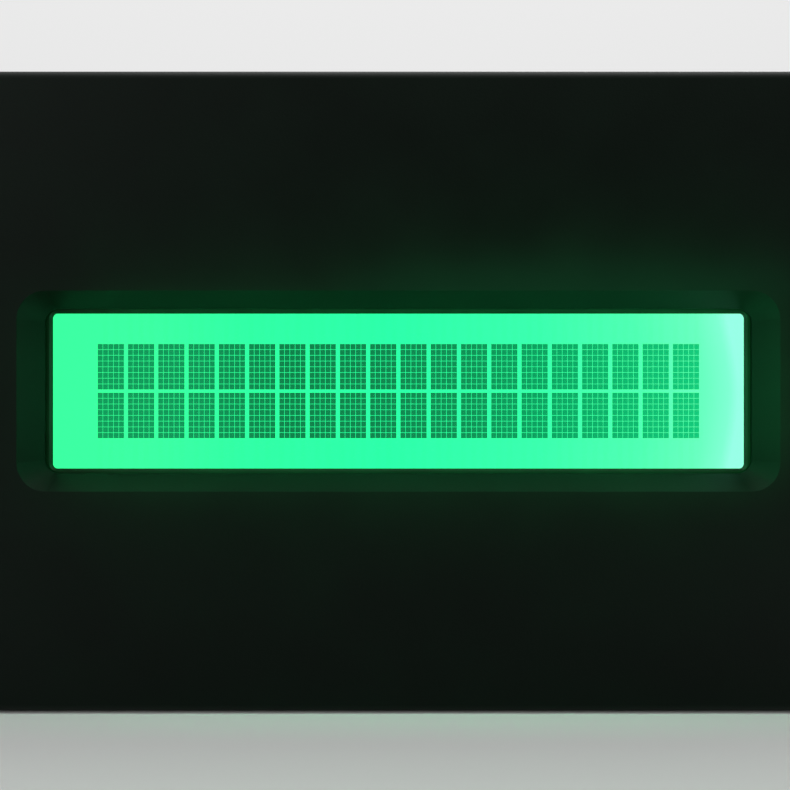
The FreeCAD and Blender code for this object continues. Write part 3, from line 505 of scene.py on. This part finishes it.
# The lit sheet, in place of the liquid crystal, and the dots just in front of it: 20 characters in 2 lines,
# each of 5 by 8
dots = {
    "characters": 20, "lines": 2, "columns": 5, "rows": 8, "width": 0.60 * mm, "height": 0.65 * mm,
    "gap": 0.05 * mm, "characterGap": 0.50 * mm, "lineGap": 0.40 * mm, "inkInset": 0.008 * mm,
    "inkDepth": 0.012 * mm, "fieldInset": 0.035 * mm, "cornerRadius": 0.8 * mm, "cornerSteps": 8,
}
cellLow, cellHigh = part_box("liquid_crystal")


def roundedOutline(low, high, radius, steps):
    points = []
    for quarter in range(4):
        centerX = high.x - radius if quarter in (0, 3) else low.x + radius
        centerZ = high.z - radius if quarter in (0, 1) else low.z + radius
        for step in range(steps + 1):
            angle = (quarter + step / steps) * math.pi / 2
            points.append((centerX + radius * math.cos(angle), centerZ + radius * math.sin(angle)))
    return points


def dotStarts(groups, count, size, groupGap):  # where the dots begin along one axis, centred on 0
    pitch = size + dots["gap"]
    groupPitch = count * pitch - dots["gap"] + groupGap
    start = -(groups * groupPitch - groupGap) / 2
    return [start + group * groupPitch + k * pitch for group in range(groups) for k in range(count)]


litSheet = bmesh.new()
addPlate(litSheet, roundedOutline(cellLow, cellHigh, dots["cornerRadius"], dots["cornerSteps"]),
         cellLow.y + dots["fieldInset"], cellHigh.y)
newPiece("litField", litSheet, "litField", ("liquid_crystal",))

ink = bmesh.new()
inkFront = cellLow.y + dots["inkInset"]
inkBack = inkFront + dots["inkDepth"]
dotXs = dotStarts(dots["characters"], dots["columns"], dots["width"], dots["characterGap"])
dotZs = dotStarts(dots["lines"], dots["rows"], dots["height"], dots["lineGap"])
for x in dotXs:
    for z in dotZs:
        addBlock(ink, (x, inkFront, z), (x + dots["width"], inkBack, z + dots["height"]))
newPiece("dotField", ink, "dotInk")
print("window made, with", len(dotXs) * len(dotZs), "dots")

# Resin domes with a softly uneven skirt, in place of the plain ones
dome = {
    "nodes": {"controllerDome": "controller_blob", "leftDriverDome": "left_driver_blob",
              "rightDriverDome": "right_driver_blob"},
    "sides": 96, "bands": 24, "crown": 2.3, "skirt": 0.8,
    "wobble": 0.022, "wobbleScale": 1.6, "seed": 4.0, "seedStep": 7.3, "sag": 0.06 * mm, "sagScale": 260,
}


def roundNode(node):  # centre and radius of a dome's footprint
    low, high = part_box(node)
    return (low.x + high.x) / 2, (low.z + high.z) / 2, (high.x - low.x) / 2


def makeDome(name, node, number):
    low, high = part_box(node)
    height = high.y - low.y
    centerX, centerZ, radius = roundNode(node)
    profile = []
    for band in range(dome["bands"] + 1):
        share = math.cos(band / dome["bands"] * math.pi / 2) if band < dome["bands"] else 0.0
        profile.append((radius * share, low.y + height * (1 - share ** dome["crown"]) ** dome["skirt"]))
    shape = bmesh.new()
    addTurned(shape, centerX, centerZ, profile, dome["sides"])
    for vert in shape.verts:
        away = Vector((vert.co.x - centerX, 0, vert.co.z - centerZ))
        if away.length > 0:
            turn = away.normalized() * dome["wobbleScale"]
            share = noise.noise(Vector((turn.x, turn.z, dome["seed"] + number * dome["seedStep"])))
            vert.co -= away * (dome["wobble"] * (1 + share))
        ripple = noise.noise(vert.co * dome["sagScale"] + Vector((number, 0, 0)))
        vert.co.y = max(low.y, min(high.y, vert.co.y + dome["sag"] * ripple * (vert.co.y - low.y) / height))
    bmesh.ops.contextual_create(shape, geom=[edge for edge in shape.edges if edge.is_boundary])
    for face in shape.faces:
        face.smooth = len(face.verts) < 5  # all but the foot
    newPiece(name, shape, "blackResin", (node,))


for domeNumber, (domeName, domeNode) in enumerate(dome["nodes"].items(), 1):
    makeDome(domeName, domeNode, domeNumber)
print("resin domes made")

# The board's copper lies under green mask: tracks, vias and broad areas, all a hair above the laminate
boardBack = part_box("circuit_board")[1].y
copper = {
    "trackWidth": 0.22 * mm, "rise": 0.022 * mm, "leastStep": 0.01 * mm, "reach": 0.98,
    "viaRadius": 0.34 * mm, "viaProfile": ((1, 0), (0.86, 1), (0.45, 1), (0.36, 0.2), (0, 0.1)),
    "viaSides": 14, "areaRise": 0.014 * mm, "areaCut": 0.6 * mm,
}
trackShape = bmesh.new()
viaShape = bmesh.new()
areaShape = bmesh.new()


def addTrack(points, width=copper["trackWidth"]):
    kept = [point for k, point in enumerate(points)
            if k == 0 or (Vector(point) - Vector(points[k - 1])).length > copper["leastStep"]]
    addRibbon(trackShape, kept, width, boardBack, copper["rise"])


def addVia(x, z, base=0.0):
    profile = [(copper["viaRadius"] * radius, boardBack + base + copper["rise"] * height)
               for radius, height in copper["viaProfile"]]
    addTurned(viaShape, x, z, profile, copper["viaSides"])


# Fans of tracks from a dome up or down to a staggered row of vias
fans = [
    {"node": "left_driver_blob", "side": 1, "row": 10.4 * mm, "count": 14, "pitch": 1.15 * mm,
     "shift": 3.7 * mm},
    {"node": "right_driver_blob", "side": 1, "row": 10.7 * mm},
] + [{"node": node, "side": -1, "row": 11.6 * mm} for node in dome["nodes"].values()]
fanLook = {"count": 18, "pitch": 1.28 * mm, "shift": 0, "spread": 0.88, "stagger": 0.55 * mm,
           "clear": 1.0 * mm, "turnStep": 0.17 * mm}


def addFan(fan):
    centerX, centerZ, radius = roundNode(fan["node"])
    side, middle = fan["side"], (fan["count"] - 1) / 2
    for i in range(fan["count"]):
        share = (i - middle) / middle * fan["spread"]
        startX = centerX + radius * share
        startZ = centerZ + side * radius * math.sqrt(1 - share ** 2) * copper["reach"]
        endX = centerX + fan["shift"] + (i - middle) * fan["pitch"]
        endZ = side * (fan["row"] + fan["stagger"] * (i % 2))
        shift = abs(endX - startX)
        nest = middle - abs(i - middle) if fan["shift"] == 0 else i
        turnZ = endZ - side * (fan["clear"] + shift + fan["turnStep"] * nest)
        if side * (turnZ - startZ) < 0:
            turnZ = startZ
        bendZ = turnZ + side * min(abs(endZ - turnZ), shift)
        addTrack([(startX, startZ), (startX, turnZ), (endX, bendZ), (endX, endZ)])
        addVia(endX, endZ)


for fan in fans:
    addFan({**fanLook, **fan})

# Tracks from the header to the controller. Those at the right pass above the chip resistors,
# and the pins beside the tab slots are joined on the board's other face.
pins = {"count": 16, "skipped": (2, 12, 13), "side": 0.64 * mm, "turns": (160, 22), "laneTop": 12.4 * mm,
        "lanePitch": 0.5 * mm, "legStep": 0.4 * mm, "legSpare": 0.35 * mm}
headerLow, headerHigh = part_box("header_body")
pinLow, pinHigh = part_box("header_pins")
resistorLow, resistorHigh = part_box("chip_resistors")
controllerX, controllerZ, controllerRadius = roundNode("controller_blob")
pinPitch = (pinHigh.x - pinLow.x - pins["side"]) / (pins["count"] - 1)
routed = [k for k in range(pins["count"]) if k not in pins["skipped"]]
pinXs = {k: pinLow.x + pins["side"] / 2 + k * pinPitch for k in routed}
lanes = [k for k in routed if pinXs[k] > resistorLow.x - 2 * pins["legSpare"]]
firstTurn, lastTurn = pins["turns"]
for order, k in enumerate(routed):
    turn = math.radians(firstTurn + (lastTurn - firstTurn) * order / (len(routed) - 1))
    startX = controllerX + controllerRadius * copper["reach"] * math.cos(turn)
    startZ = controllerZ + controllerRadius * copper["reach"] * math.sin(turn)
    legX = pinXs[k]
    route = [(legX, headerLow.z)]
    if k in lanes:
        place = lanes.index(k)
        laneZ = pins["laneTop"] - pins["lanePitch"] * place
        legX = resistorLow.x - pins["legSpare"] - pins["legStep"] * (len(lanes) - 1 - place)
        route += [(pinXs[k], laneZ), (legX, laneZ)]
    addTrack(route + [(legX, startZ + abs(legX - startX)), (startX, startZ)])
print("fans and header tracks made")

# Data lines between the chips: straight from the controller, then round the capacitors
bus = {"count": 5, "pitch": 0.7 * mm, "inward": 0.2, "lead": 0.35 * mm, "laneTop": -3.3 * mm,
       "lanePitch": 0.5 * mm}
leftX, leftZ, leftRadius = roundNode("left_driver_blob")
rightX, rightZ, rightRadius = roundNode("right_driver_blob")
nearX, farX = leftX + leftRadius + bus["lead"], rightX - rightRadius - bus["lead"]
for i in range(bus["count"]):
    z = leftZ + ((bus["count"] - 1) / 2 - i) * bus["pitch"]
    laneZ = bus["laneTop"] - i * bus["lanePitch"]
    drop, inward = z - laneZ, abs(z - leftZ) * bus["inward"]
    addTrack([(controllerX + controllerRadius * copper["reach"] - inward, z),
              (leftX - leftRadius * copper["reach"] + inward, z)])
    addTrack([(nearX - 2 * bus["lead"], z), (nearX, z), (nearX + drop, laneZ), (farX - drop, laneZ),
              (farX, z), (farX + 2 * bus["lead"], z)])

# Resistor row: a shared line above it and a via below each resistor
row = {"count": 8, "pitch": 2.6 * mm, "width": 1.25 * mm, "line": 0.95 * mm, "lineEnd": 0.8 * mm,
       "lineWidth": 0.32 * mm, "stub": 1.6 * mm}
firstX = resistorLow.x + row["width"] / 2
lastX = firstX + (row["count"] - 1) * row["pitch"]
lineZ, stubZ = resistorHigh.z + row["line"], resistorLow.z - row["stub"]
addTrack([(firstX, lineZ), (lastX + row["lineEnd"], lineZ)], row["lineWidth"])
for i in range(row["count"]):
    x = firstX + i * row["pitch"]
    addTrack([(x, resistorHigh.z), (x, lineZ)])
    addTrack([(x, resistorLow.z), (x, stubZ)])
    addVia(x, stubZ)

# Lamp feed: wide tracks from the resistor to one lead and from the other lead to the ground area
feed = {"width": 0.8 * mm, "inset": 0.25 * mm, "straight": 1.2 * mm, "drop": 2.2 * mm, "end": 2.4 * mm}
leadLow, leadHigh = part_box("backlight_leads")
feedLow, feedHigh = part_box("backlight_resistor")
leadX, feedX = (leadLow.x + leadHigh.x) / 2, (feedLow.x + feedHigh.x) / 2
leadZs = (leadLow.z + feed["inset"], leadHigh.z - feed["inset"])
turnX, groundZ = leadX + feed["straight"], leadZs[0] - feed["drop"]
addTrack([(leadX, leadZs[1]), (turnX, leadZs[1]), (feedX, leadZs[1] - (feedX - turnX)), (feedX, feedHigh.z)],
         feed["width"])
addTrack([(leadX, leadZs[0]), (turnX, leadZs[0]), (turnX + feed["drop"], groundZ),
          (feedX + feed["end"], groundZ)], feed["width"])

# Broad copper areas, as left, right, bottom and top in mm: at both ends, along both edges and between the
# fans, each with a line of vias along its long sides
areas = [
    (-57.2, -49.3, -10.4, 10.4), (52.4, 57.2, -10.4, 10.4), (-49.5, 49.5, -17.9, -15.0),
    (-4.6, 49.5, 15.0, 17.9), (-15.6, -6.6, -12.2, -4.2), (18.6, 23.4, -12.2, -6.6), (19.2, 23.2, 2.0, 12.2),
]
stitch = {"pitch": 3.1 * mm, "inset": 1.2 * mm}


def spaced(low, high, pitch):
    count = max(1, int((high - low) / pitch))
    return [low + (high - low) * k / count for k in range(count + 1)]


def addArea(left, right, bottom, top):
    cut, inset = copper["areaCut"], stitch["inset"]
    outline = [(left + cut, bottom), (right - cut, bottom), (right, bottom + cut), (right, top - cut),
               (right - cut, top), (left + cut, top), (left, top - cut), (left, bottom + cut)]
    addPlate(areaShape, outline, boardBack, boardBack + copper["areaRise"], closed=False)
    viaXs, viaZs = (left + inset, right - inset), (bottom + inset, top - inset)
    if right - left > top - bottom:
        viaXs = spaced(*viaXs, stitch["pitch"])
    else:
        viaZs = spaced(*viaZs, stitch["pitch"])
    for x in viaXs:
        for z in viaZs:
            addVia(x, z, copper["areaRise"])


for area in areas:
    addArea(*(edge * mm for edge in area))
newPiece("boardTracks", trackShape, "trackMask")
newPiece("boardVias", viaShape, "trackMask")
newPiece("groundAreas", areaShape, "areaMask")
print("data lines, feeds and ground areas made")

# Bare tinned pads: rings at the screws, frames at the tab slots, test points and solder bridges
pads = {
    "rise": 0.032 * mm, "ringInner": 1.75 * mm, "ringOuter": 3.35 * mm, "ringSides": 48, "holeX": 54.0 * mm,
    "holeZ": 14.5 * mm, "slotXs": (-40 * mm, -14 * mm, 14 * mm, 40 * mm), "slotZ": 13.45 * mm,
    "slotHalf": (1.5 * mm, 0.55 * mm), "slotFrame": 0.55 * mm, "pointFirst": -47 * mm, "pointPitch": 2.1 * mm,
    "points": 4, "pointZ": -8.6 * mm, "pointRadius": 0.6 * mm, "pointTop": 0.93, "pointSides": 24,
    "bridgeX": -44.5 * mm, "bridgeZs": (5.2 * mm, 1.0 * mm, -3.2 * mm), "bridgeHalf": (0.55 * mm, 0.7 * mm),
    "bridgeGap": 0.35 * mm,
}
padShape = bmesh.new()
padBack = boardBack + pads["rise"]
screwPlaces = [(x, z) for x in (-pads["holeX"], pads["holeX"]) for z in (-pads["holeZ"], pads["holeZ"])]


def addPad(x, z, halfX, halfZ):
    addBlock(padShape, (x - halfX, boardBack, z - halfZ), (x + halfX, padBack, z + halfZ))


for x, z in screwPlaces:
    addRing(padShape, x, z, pads["ringInner"], pads["ringOuter"], boardBack, pads["rise"], pads["ringSides"])
slotHalfX, slotHalfZ = pads["slotHalf"]
halfFrame = pads["slotFrame"] / 2
for x in pads["slotXs"]:
    for z in (-pads["slotZ"], pads["slotZ"]):
        for side in (-1, 1):
            addPad(x, z + side * (slotHalfZ + halfFrame), slotHalfX + pads["slotFrame"], halfFrame)
            addPad(x + side * (slotHalfX + halfFrame), z, halfFrame, slotHalfZ)
point = pads["pointRadius"]
pointProfile = [(point, boardBack), (point * pads["pointTop"], padBack), (0, padBack)]
for i in range(pads["points"]):
    x = pads["pointFirst"] + pads["pointPitch"] * i
    addTurned(padShape, x, pads["pointZ"], pointProfile, pads["pointSides"])
bridgeReach = pads["bridgeHalf"][0] + pads["bridgeGap"] / 2
for z in pads["bridgeZs"]:
    for x in (pads["bridgeX"] - bridgeReach, pads["bridgeX"] + bridgeReach):
        addPad(x, z, *pads["bridgeHalf"])

# Printed outlines, without any lettering: rings round the domes, boxes round the header, the chips and the
# solder bridges, and a mark at the first pin
printLook = {
    "width": 0.18 * mm, "rise": 0.014 * mm, "ringGap": 0.7 * mm, "ringSides": 96,
    "boxes": {"header_body": 0.45 * mm, "chip_capacitors": 0.95 * mm, "backlight_resistor": 0.95 * mm},
    "bridgeBox": (1.75 * mm, 1.1 * mm), "mark": 0.55 * mm, "markGap": 1.35 * mm,
}
printShape = bmesh.new()
printBase = boardBack + copper["rise"]
printBack = printBase + printLook["rise"]


def addPrintBox(left, right, bottom, top):
    half = printLook["width"] / 2
    for lowX, lowZ, highX, highZ in ((left, bottom, right, bottom), (left, top, right, top),
                                     (left, bottom, left, top), (right, bottom, right, top)):
        addBlock(printShape, (lowX - half, boardBack, lowZ - half), (highX + half, printBack, highZ + half))


for node in dome["nodes"].values():
    x, z, radius = roundNode(node)
    ring = radius + printLook["ringGap"]
    addRing(printShape, x, z, ring - printLook["width"], ring, printBase, printLook["rise"],
            printLook["ringSides"])
for node, gap in printLook["boxes"].items():
    low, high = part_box(node)
    addPrintBox(low.x - gap, high.x + gap, low.z - gap, high.z + gap)
for z in pads["bridgeZs"]:
    halfX, halfZ = printLook["bridgeBox"]
    addPrintBox(pads["bridgeX"] - halfX, pads["bridgeX"] + halfX, z - halfZ, z + halfZ)
mark = printLook["mark"]
markX, markZ = headerLow.x - printLook["markGap"], (headerLow.z + headerHigh.z) / 2
addBlock(printShape, (markX - mark, boardBack, markZ - mark), (markX + mark, printBack, markZ + mark))
newPiece("printedOutlines", printShape, "whiteInk")

# Solder: pads and fillets at both ends of each chip, and cones round the lamp leads, given by radius and
# height in mm
solder = {"padSpare": 0.22 * mm, "reach": 0.5 * mm, "under": 0.5 * mm, "edge": 0.1 * mm, "side": 0.05 * mm,
          "knee": 0.3, "climb": 0.75, "capacitorPitch": 3.0 * mm, "feedWidth": 1.6 * mm, "coneSides": 24,
          "cone": [(1.15, 0), (1.1, 0.035), (0.72, 0.12), (0.5, 0.35), (0.38, 0.65), (0.3, 0.95), (0, 1.0)]}
solderShape = bmesh.new()


def addFillet(left, right, back, footZ, wallZ, height):
    kneeZ = (footZ + 2 * wallZ) / 3
    line = [(back, footZ), (back + height * solder["knee"], kneeZ), (back + height, wallZ), (back, wallZ)]
    verts = [solderShape.verts.new((x, y, z)) for y, z in line for x in (left, right)]
    for face in ((0, 1, 3, 2), (2, 3, 5, 4), (4, 5, 7, 6), (6, 7, 1, 0), (0, 2, 4, 6), (1, 7, 5, 3)):
        solderShape.faces.new([verts[i] for i in face])


def solderChips(node, width, pitch):
    low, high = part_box(node)
    count = round((high.x - low.x - width) / pitch) + 1 if pitch else 1
    for i in range(count):
        left = low.x + i * pitch
        for wallZ, side in ((low.z, -1), (high.z, 1)):
            footZ = wallZ + side * solder["reach"]
            ends = sorted((wallZ - side * solder["under"], footZ + side * solder["edge"]))
            addPad(left + width / 2, sum(ends) / 2, (width + solder["padSpare"]) / 2, (ends[1] - ends[0]) / 2)
            addFillet(left + solder["side"], left + width - solder["side"], padBack, footZ, wallZ,
                      (high.y - low.y) * solder["climb"])


solderChips("chip_resistors", row["width"], row["pitch"])
solderChips("chip_capacitors", row["width"], solder["capacitorPitch"])
solderChips("backlight_resistor", solder["feedWidth"], 0)
for z in leadZs:
    coneProfile = [(radius * mm, boardBack + height * mm) for radius, height in solder["cone"]]
    addTurned(solderShape, leadX, z, coneProfile, solder["coneSides"])
newPiece("tinnedPads", padShape, "tinPad")
newPiece("solderJoints", solderShape, "tinSolder")
print("pads, print and solder made")

# Pan head screws with a cross recess, in place of the plain ones. The faces of the recess take a darker zinc,
# which is painted shade.
screw = {
    "head": 2.6 * mm, "height": 2.0 * mm, "side": 0.45 * mm, "crown": 2.8, "rings": 9, "sideRings": 2,
    "arm": 0.36 * mm, "span": 1.35 * mm, "wall": 0.05 * mm, "grid": 1.45 * mm, "depth": 1.1 * mm,
    "taper": 0.75, "armSteps": 3, "spanSteps": 8, "core": 1.2 * mm, "root": 1.02 * mm,
    "turnPitch": 0.6 * mm, "flank": 0.2 * mm, "threadSides": 24, "turns": (4, 12, -7, 23),
}
screwShape = bmesh.new()
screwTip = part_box("module_screws")[0].y


def headHeight(radius):
    share = min(1.0, radius / screw["head"])
    crown = (1 - share ** screw["crown"]) ** (1 / screw["crown"])
    return screw["side"] + (screw["height"] - screw["side"]) * crown


def recessDepth(u, v):
    across, along = sorted((abs(u), abs(v)))
    if across > screw["arm"] or along > screw["span"]:
        return 0.0
    return screw["depth"] * (1 - screw["taper"] * (along / screw["span"]) ** 2)


def recessGrid():  # lines of a square grid, close together where the recess has its walls
    outside, span = screw["arm"] + screw["wall"], screw["span"]
    lines = [screw["arm"] * k / screw["armSteps"] for k in range(screw["armSteps"] + 1)]
    lines += [outside + (span - outside) * k / screw["spanSteps"] for k in range(screw["spanSteps"] + 1)]
    lines += [span + screw["wall"], screw["grid"]]
    return [-line for line in reversed(lines[1:])] + lines


def addScrew(x, z, turn):
    cosTurn, sinTurn = math.cos(math.radians(turn)), math.sin(math.radians(turn))
    steps = recessGrid()

    def spot(u, v, y):
        turnedX, turnedZ = u * cosTurn - v * sinTurn, u * sinTurn + v * cosTurn
        return screwShape.verts.new((x + turnedX, boardBack + y, z + turnedZ))

    rows = [[spot(u, v, headHeight(math.hypot(u, v)) - recessDepth(u, v)) for v in steps] for u in steps]
    last = len(steps) - 1
    for i in range(last):
        for j in range(last):
            face = screwShape.faces.new([rows[i][j], rows[i + 1][j], rows[i + 1][j + 1], rows[i][j + 1]])
            deep = any(recessDepth(u, v) for u in steps[i:i + 2] for v in steps[j:j + 2])
            face.smooth = not deep
            # Faces in the recess take the darker zinc: painted shade.
            face.material_index = 1 if deep else 0
    around = ([(i, 0) for i in range(last)] + [(last, j) for j in range(last)]
              + [(last - i, last) for i in range(last)] + [(0, last - j) for j in range(last)])
    ring = [rows[i][j] for i, j in around]
    for step in range(1, screw["rings"] + screw["sideRings"] + 1):
        fresh = []
        for i, j in around:
            u, v = steps[i], steps[j]
            away = math.hypot(u, v)
            reach = away + (screw["head"] - away) * math.sin(min(1.0, step / screw["rings"]) * math.pi / 2)
            left = screw["rings"] + screw["sideRings"] - step
            y = headHeight(reach) if step <= screw["rings"] else screw["side"] * left / screw["sideRings"]
            fresh.append(spot(u * reach / away, v * reach / away, y))
        for k in range(len(fresh)):
            face = screwShape.faces.new([ring[k - 1], ring[k], fresh[k], fresh[k - 1]])
            face.smooth = True
        ring = fresh
    screwShape.faces.new(ring)
    profile = [(screw["core"], boardBack)]
    for k in range(int((boardBack - screwTip) / screw["turnPitch"])):
        y = boardBack - (k + 0.5) * screw["turnPitch"]
        profile += [(screw["core"], y), (screw["root"], y - screw["flank"])]
    profile += [(screw["root"], screwTip), (0, screwTip)]
    addTurned(screwShape, x, z, profile, screw["threadSides"])


for (x, z), turn in zip(screwPlaces, screw["turns"]):
    addScrew(x, z, turn)
newPiece("panHeadScrews", screwShape, "zincScrew recessShade", ("module_screws",))
print("screws made")

# Faint rings that the mould's ejector pins leave on the bezel's inner floor
marks = {"radius": 2.6 * mm, "width": 0.14 * mm, "rise": 0.03 * mm, "sides": 48, "floor": 3.2 * mm,
         "xs": (-60.5 * mm, -30 * mm, 0, 30 * mm, 60.5 * mm), "zs": (-26.5 * mm, 26.5 * mm)}
markShape = bmesh.new()
for x in marks["xs"]:
    for z in marks["zs"]:
        addRing(markShape, x, z, marks["radius"] - marks["width"], marks["radius"], cadLow.y + marks["floor"],
                marks["rise"], marks["sides"])
newPiece("ejectorMarks", markShape, "bezelPlastic")
print("bezel marks made")

# Stage: a wide pale floor that fades out at its rim
stage = {"radii": (0.2, 0.5, 0.9), "sides": 64, "fade": (0.25, 0.85),
         "paper": {"color": (206, 208, 206), "tone": (3, 0.01), "gloss": (0.7, 0.03),
                   "grain": (900, 0.02, 0.1), "specular": 0.2}}


def makeStage():
    shape = bmesh.new()
    center = shape.verts.new((0, 0, cadLow.z))
    angles = [2 * math.pi * k / stage["sides"] for k in range(stage["sides"])]
    rings = [[shape.verts.new((radius * math.cos(angle), radius * math.sin(angle), cadLow.z))
              for angle in angles] for radius in stage["radii"]]
    for k in range(stage["sides"]):
        shape.faces.new([center, rings[0][k - 1], rings[0][k]])
        for low, high in zip(rings, rings[1:]):
            shape.faces.new([low[k], low[k - 1], high[k - 1], high[k]])
    bmesh.ops.recalc_face_normals(shape, faces=shape.faces)
    mesh = bpy.data.meshes.new("paleFloor")
    shape.to_mesh(mesh)
    shape.free()
    paper = makeFinish("palePaper", stage["paper"])
    place = addNode(paper, "ShaderNodeTexCoord")
    reach = addNode(paper, "ShaderNodeVectorMath", operation="LENGTH")
    fade = addSpread(paper, reach, "Value", 1.0, 0.0, *stage["fade"], smooth=True)
    wire(paper, (place, "Object", reach, "Vector"),
         (fade, "Result", paper.node_tree.nodes["Principled BSDF"], "Alpha"))
    mesh.materials.append(paper)
    floor = bpy.data.objects.new("paleFloor", mesh)
    bpy.context.scene.collection.objects.link(floor)


makeStage()

# Light: a broad soft lamp overhead, a weak one in front and a stronger one behind
lamps = {
    "overhead": {"place": (0.05, -0.03, 0.75), "aim": (0, 0, 0), "size": (0.8, 0.8), "power": 5.0},
    "front": {"place": (-0.6, -0.7, 0.4), "aim": (0, 0, 0), "size": (0.6, 0.6), "power": 1.0},
    "behind": {"place": (0.45, 0.95, 0.6), "aim": (0, 0, 0), "size": (0.6, 0.6), "power": 6.5},
}

# The glare of the bright window on the plastic round it: before the window, at the end beside the backlight's
# lamps, and above the window's right half
glares = {
    "windowGlare": {"at": (2.2 * mm, 0), "size": (78.8 * mm, 18.0 * mm), "power": 0.0238},
    "lampEndGlare": {"at": (40.6 * mm, 0), "size": (3.0 * mm, 10.0 * mm), "power": 0.0024},
    "upperGlare": {"at": (23 * mm, 13 * mm), "size": (60 * mm, 6 * mm), "power": 0.0016, "shape": "ELLIPSE"},
}
glareLook = {"color": (0.03, 1.0, 0.36), "gap": 6.0 * mm}


def makeLamp(name, look):
    data = bpy.data.lights.new(name, "AREA")
    data.shape = look.get("shape", "RECTANGLE")
    data.size, data.size_y = look["size"]
    data.energy = look["power"]
    data.color = look.get("color", (1, 1, 1))
    lamp = bpy.data.objects.new(name, data)
    lamp.location = look["place"]
    lamp.rotation_euler = (Vector(look["aim"]) - Vector(look["place"])).to_track_quat("-Z", "Y").to_euler()
    lamp.visible_camera = False
    bpy.context.scene.collection.objects.link(lamp)


for lampName, lampLook in lamps.items():
    makeLamp(lampName, lampLook)
for glareName, glare in glares.items():
    x, z = glare["at"]
    place = (x, cadLow.y - glareLook["gap"], z)
    makeLamp(glareName, {**glareLook, **glare, "place": place, "aim": (x, 0, z)})

# The room: a fill light, a pale backdrop for eyes, and for gloss a room that is bright above, darker low down
# and darkest in front
room = {"fill": 0.45, "backdrop": (0.74, 0.92), "gloss": (0.35, 1.05), "glossSpan": (-0.25, 0.85),
        "frontGloss": 0.3, "frontSpan": (-0.95, -0.1)}


def makeRoom(look):
    world = bpy.data.worlds.new("softRoom")
    world.use_nodes = True
    background = world.node_tree.nodes["Background"]
    background.inputs["Color"].default_value = (1, 1, 1, 1)
    paths = addNode(world, "ShaderNodeLightPath")
    split = splitPlace(world, "Generated")
    backdrop = addSpread(world, split, "Z", *look["backdrop"])
    gloss = addSpread(world, split, "Z", *look["gloss"], *look["glossSpan"], smooth=True)
    front = addSpread(world, split, "Y", look["frontGloss"], 1.0, *look["frontSpan"], smooth=True)
    glossHere = addMath(world, "MULTIPLY")
    eyesOrGlass = addMath(world, "MAXIMUM")
    withGloss = addSpread(world, paths, "Is Glossy Ray", look["fill"])
    withEyes = addSpread(world, eyesOrGlass, "Value")
    wire(world, (gloss, "Result", glossHere, 0), (front, "Result", glossHere, 1),
         (glossHere, "Value", withGloss, "To Max"), (paths, "Is Camera Ray", eyesOrGlass, 0),
         (paths, "Is Transmission Ray", eyesOrGlass, 1), (withGloss, "Result", withEyes, "To Min"),
         (backdrop, "Result", withEyes, "To Max"), (withEyes, "Result", background, "Strength"))
    bpy.context.scene.world = world


makeRoom(room)

# Camera on the window's axis, at the distance that the photograph's perspective gives
camera = {"distance": 80 * mm, "cellPlane": cellLow.y, "lens": 29.83, "sensor": 36.0, "clipStart": 5 * mm,
          "shiftX": -3.4 / 790, "shiftY": -3.9 / 790}
cameraData = bpy.data.cameras.new("photoCamera")
cameraData.lens = camera["lens"]
cameraData.sensor_width = camera["sensor"]
cameraData.shift_x = camera["shiftX"]
cameraData.shift_y = camera["shiftY"]
cameraData.clip_start = camera["clipStart"]
cameraData.dof.use_dof = False
photoCamera = bpy.data.objects.new("photoCamera", cameraData)
photoCamera.location = (0, camera["cellPlane"] - camera["distance"], 0)
photoCamera.rotation_euler = (math.pi / 2, 0, 0)
bpy.context.scene.collection.objects.link(photoCamera)
bpy.context.scene.camera = photoCamera
bpy.context.scene.view_settings.view_transform = "Standard"

print("scene ready")
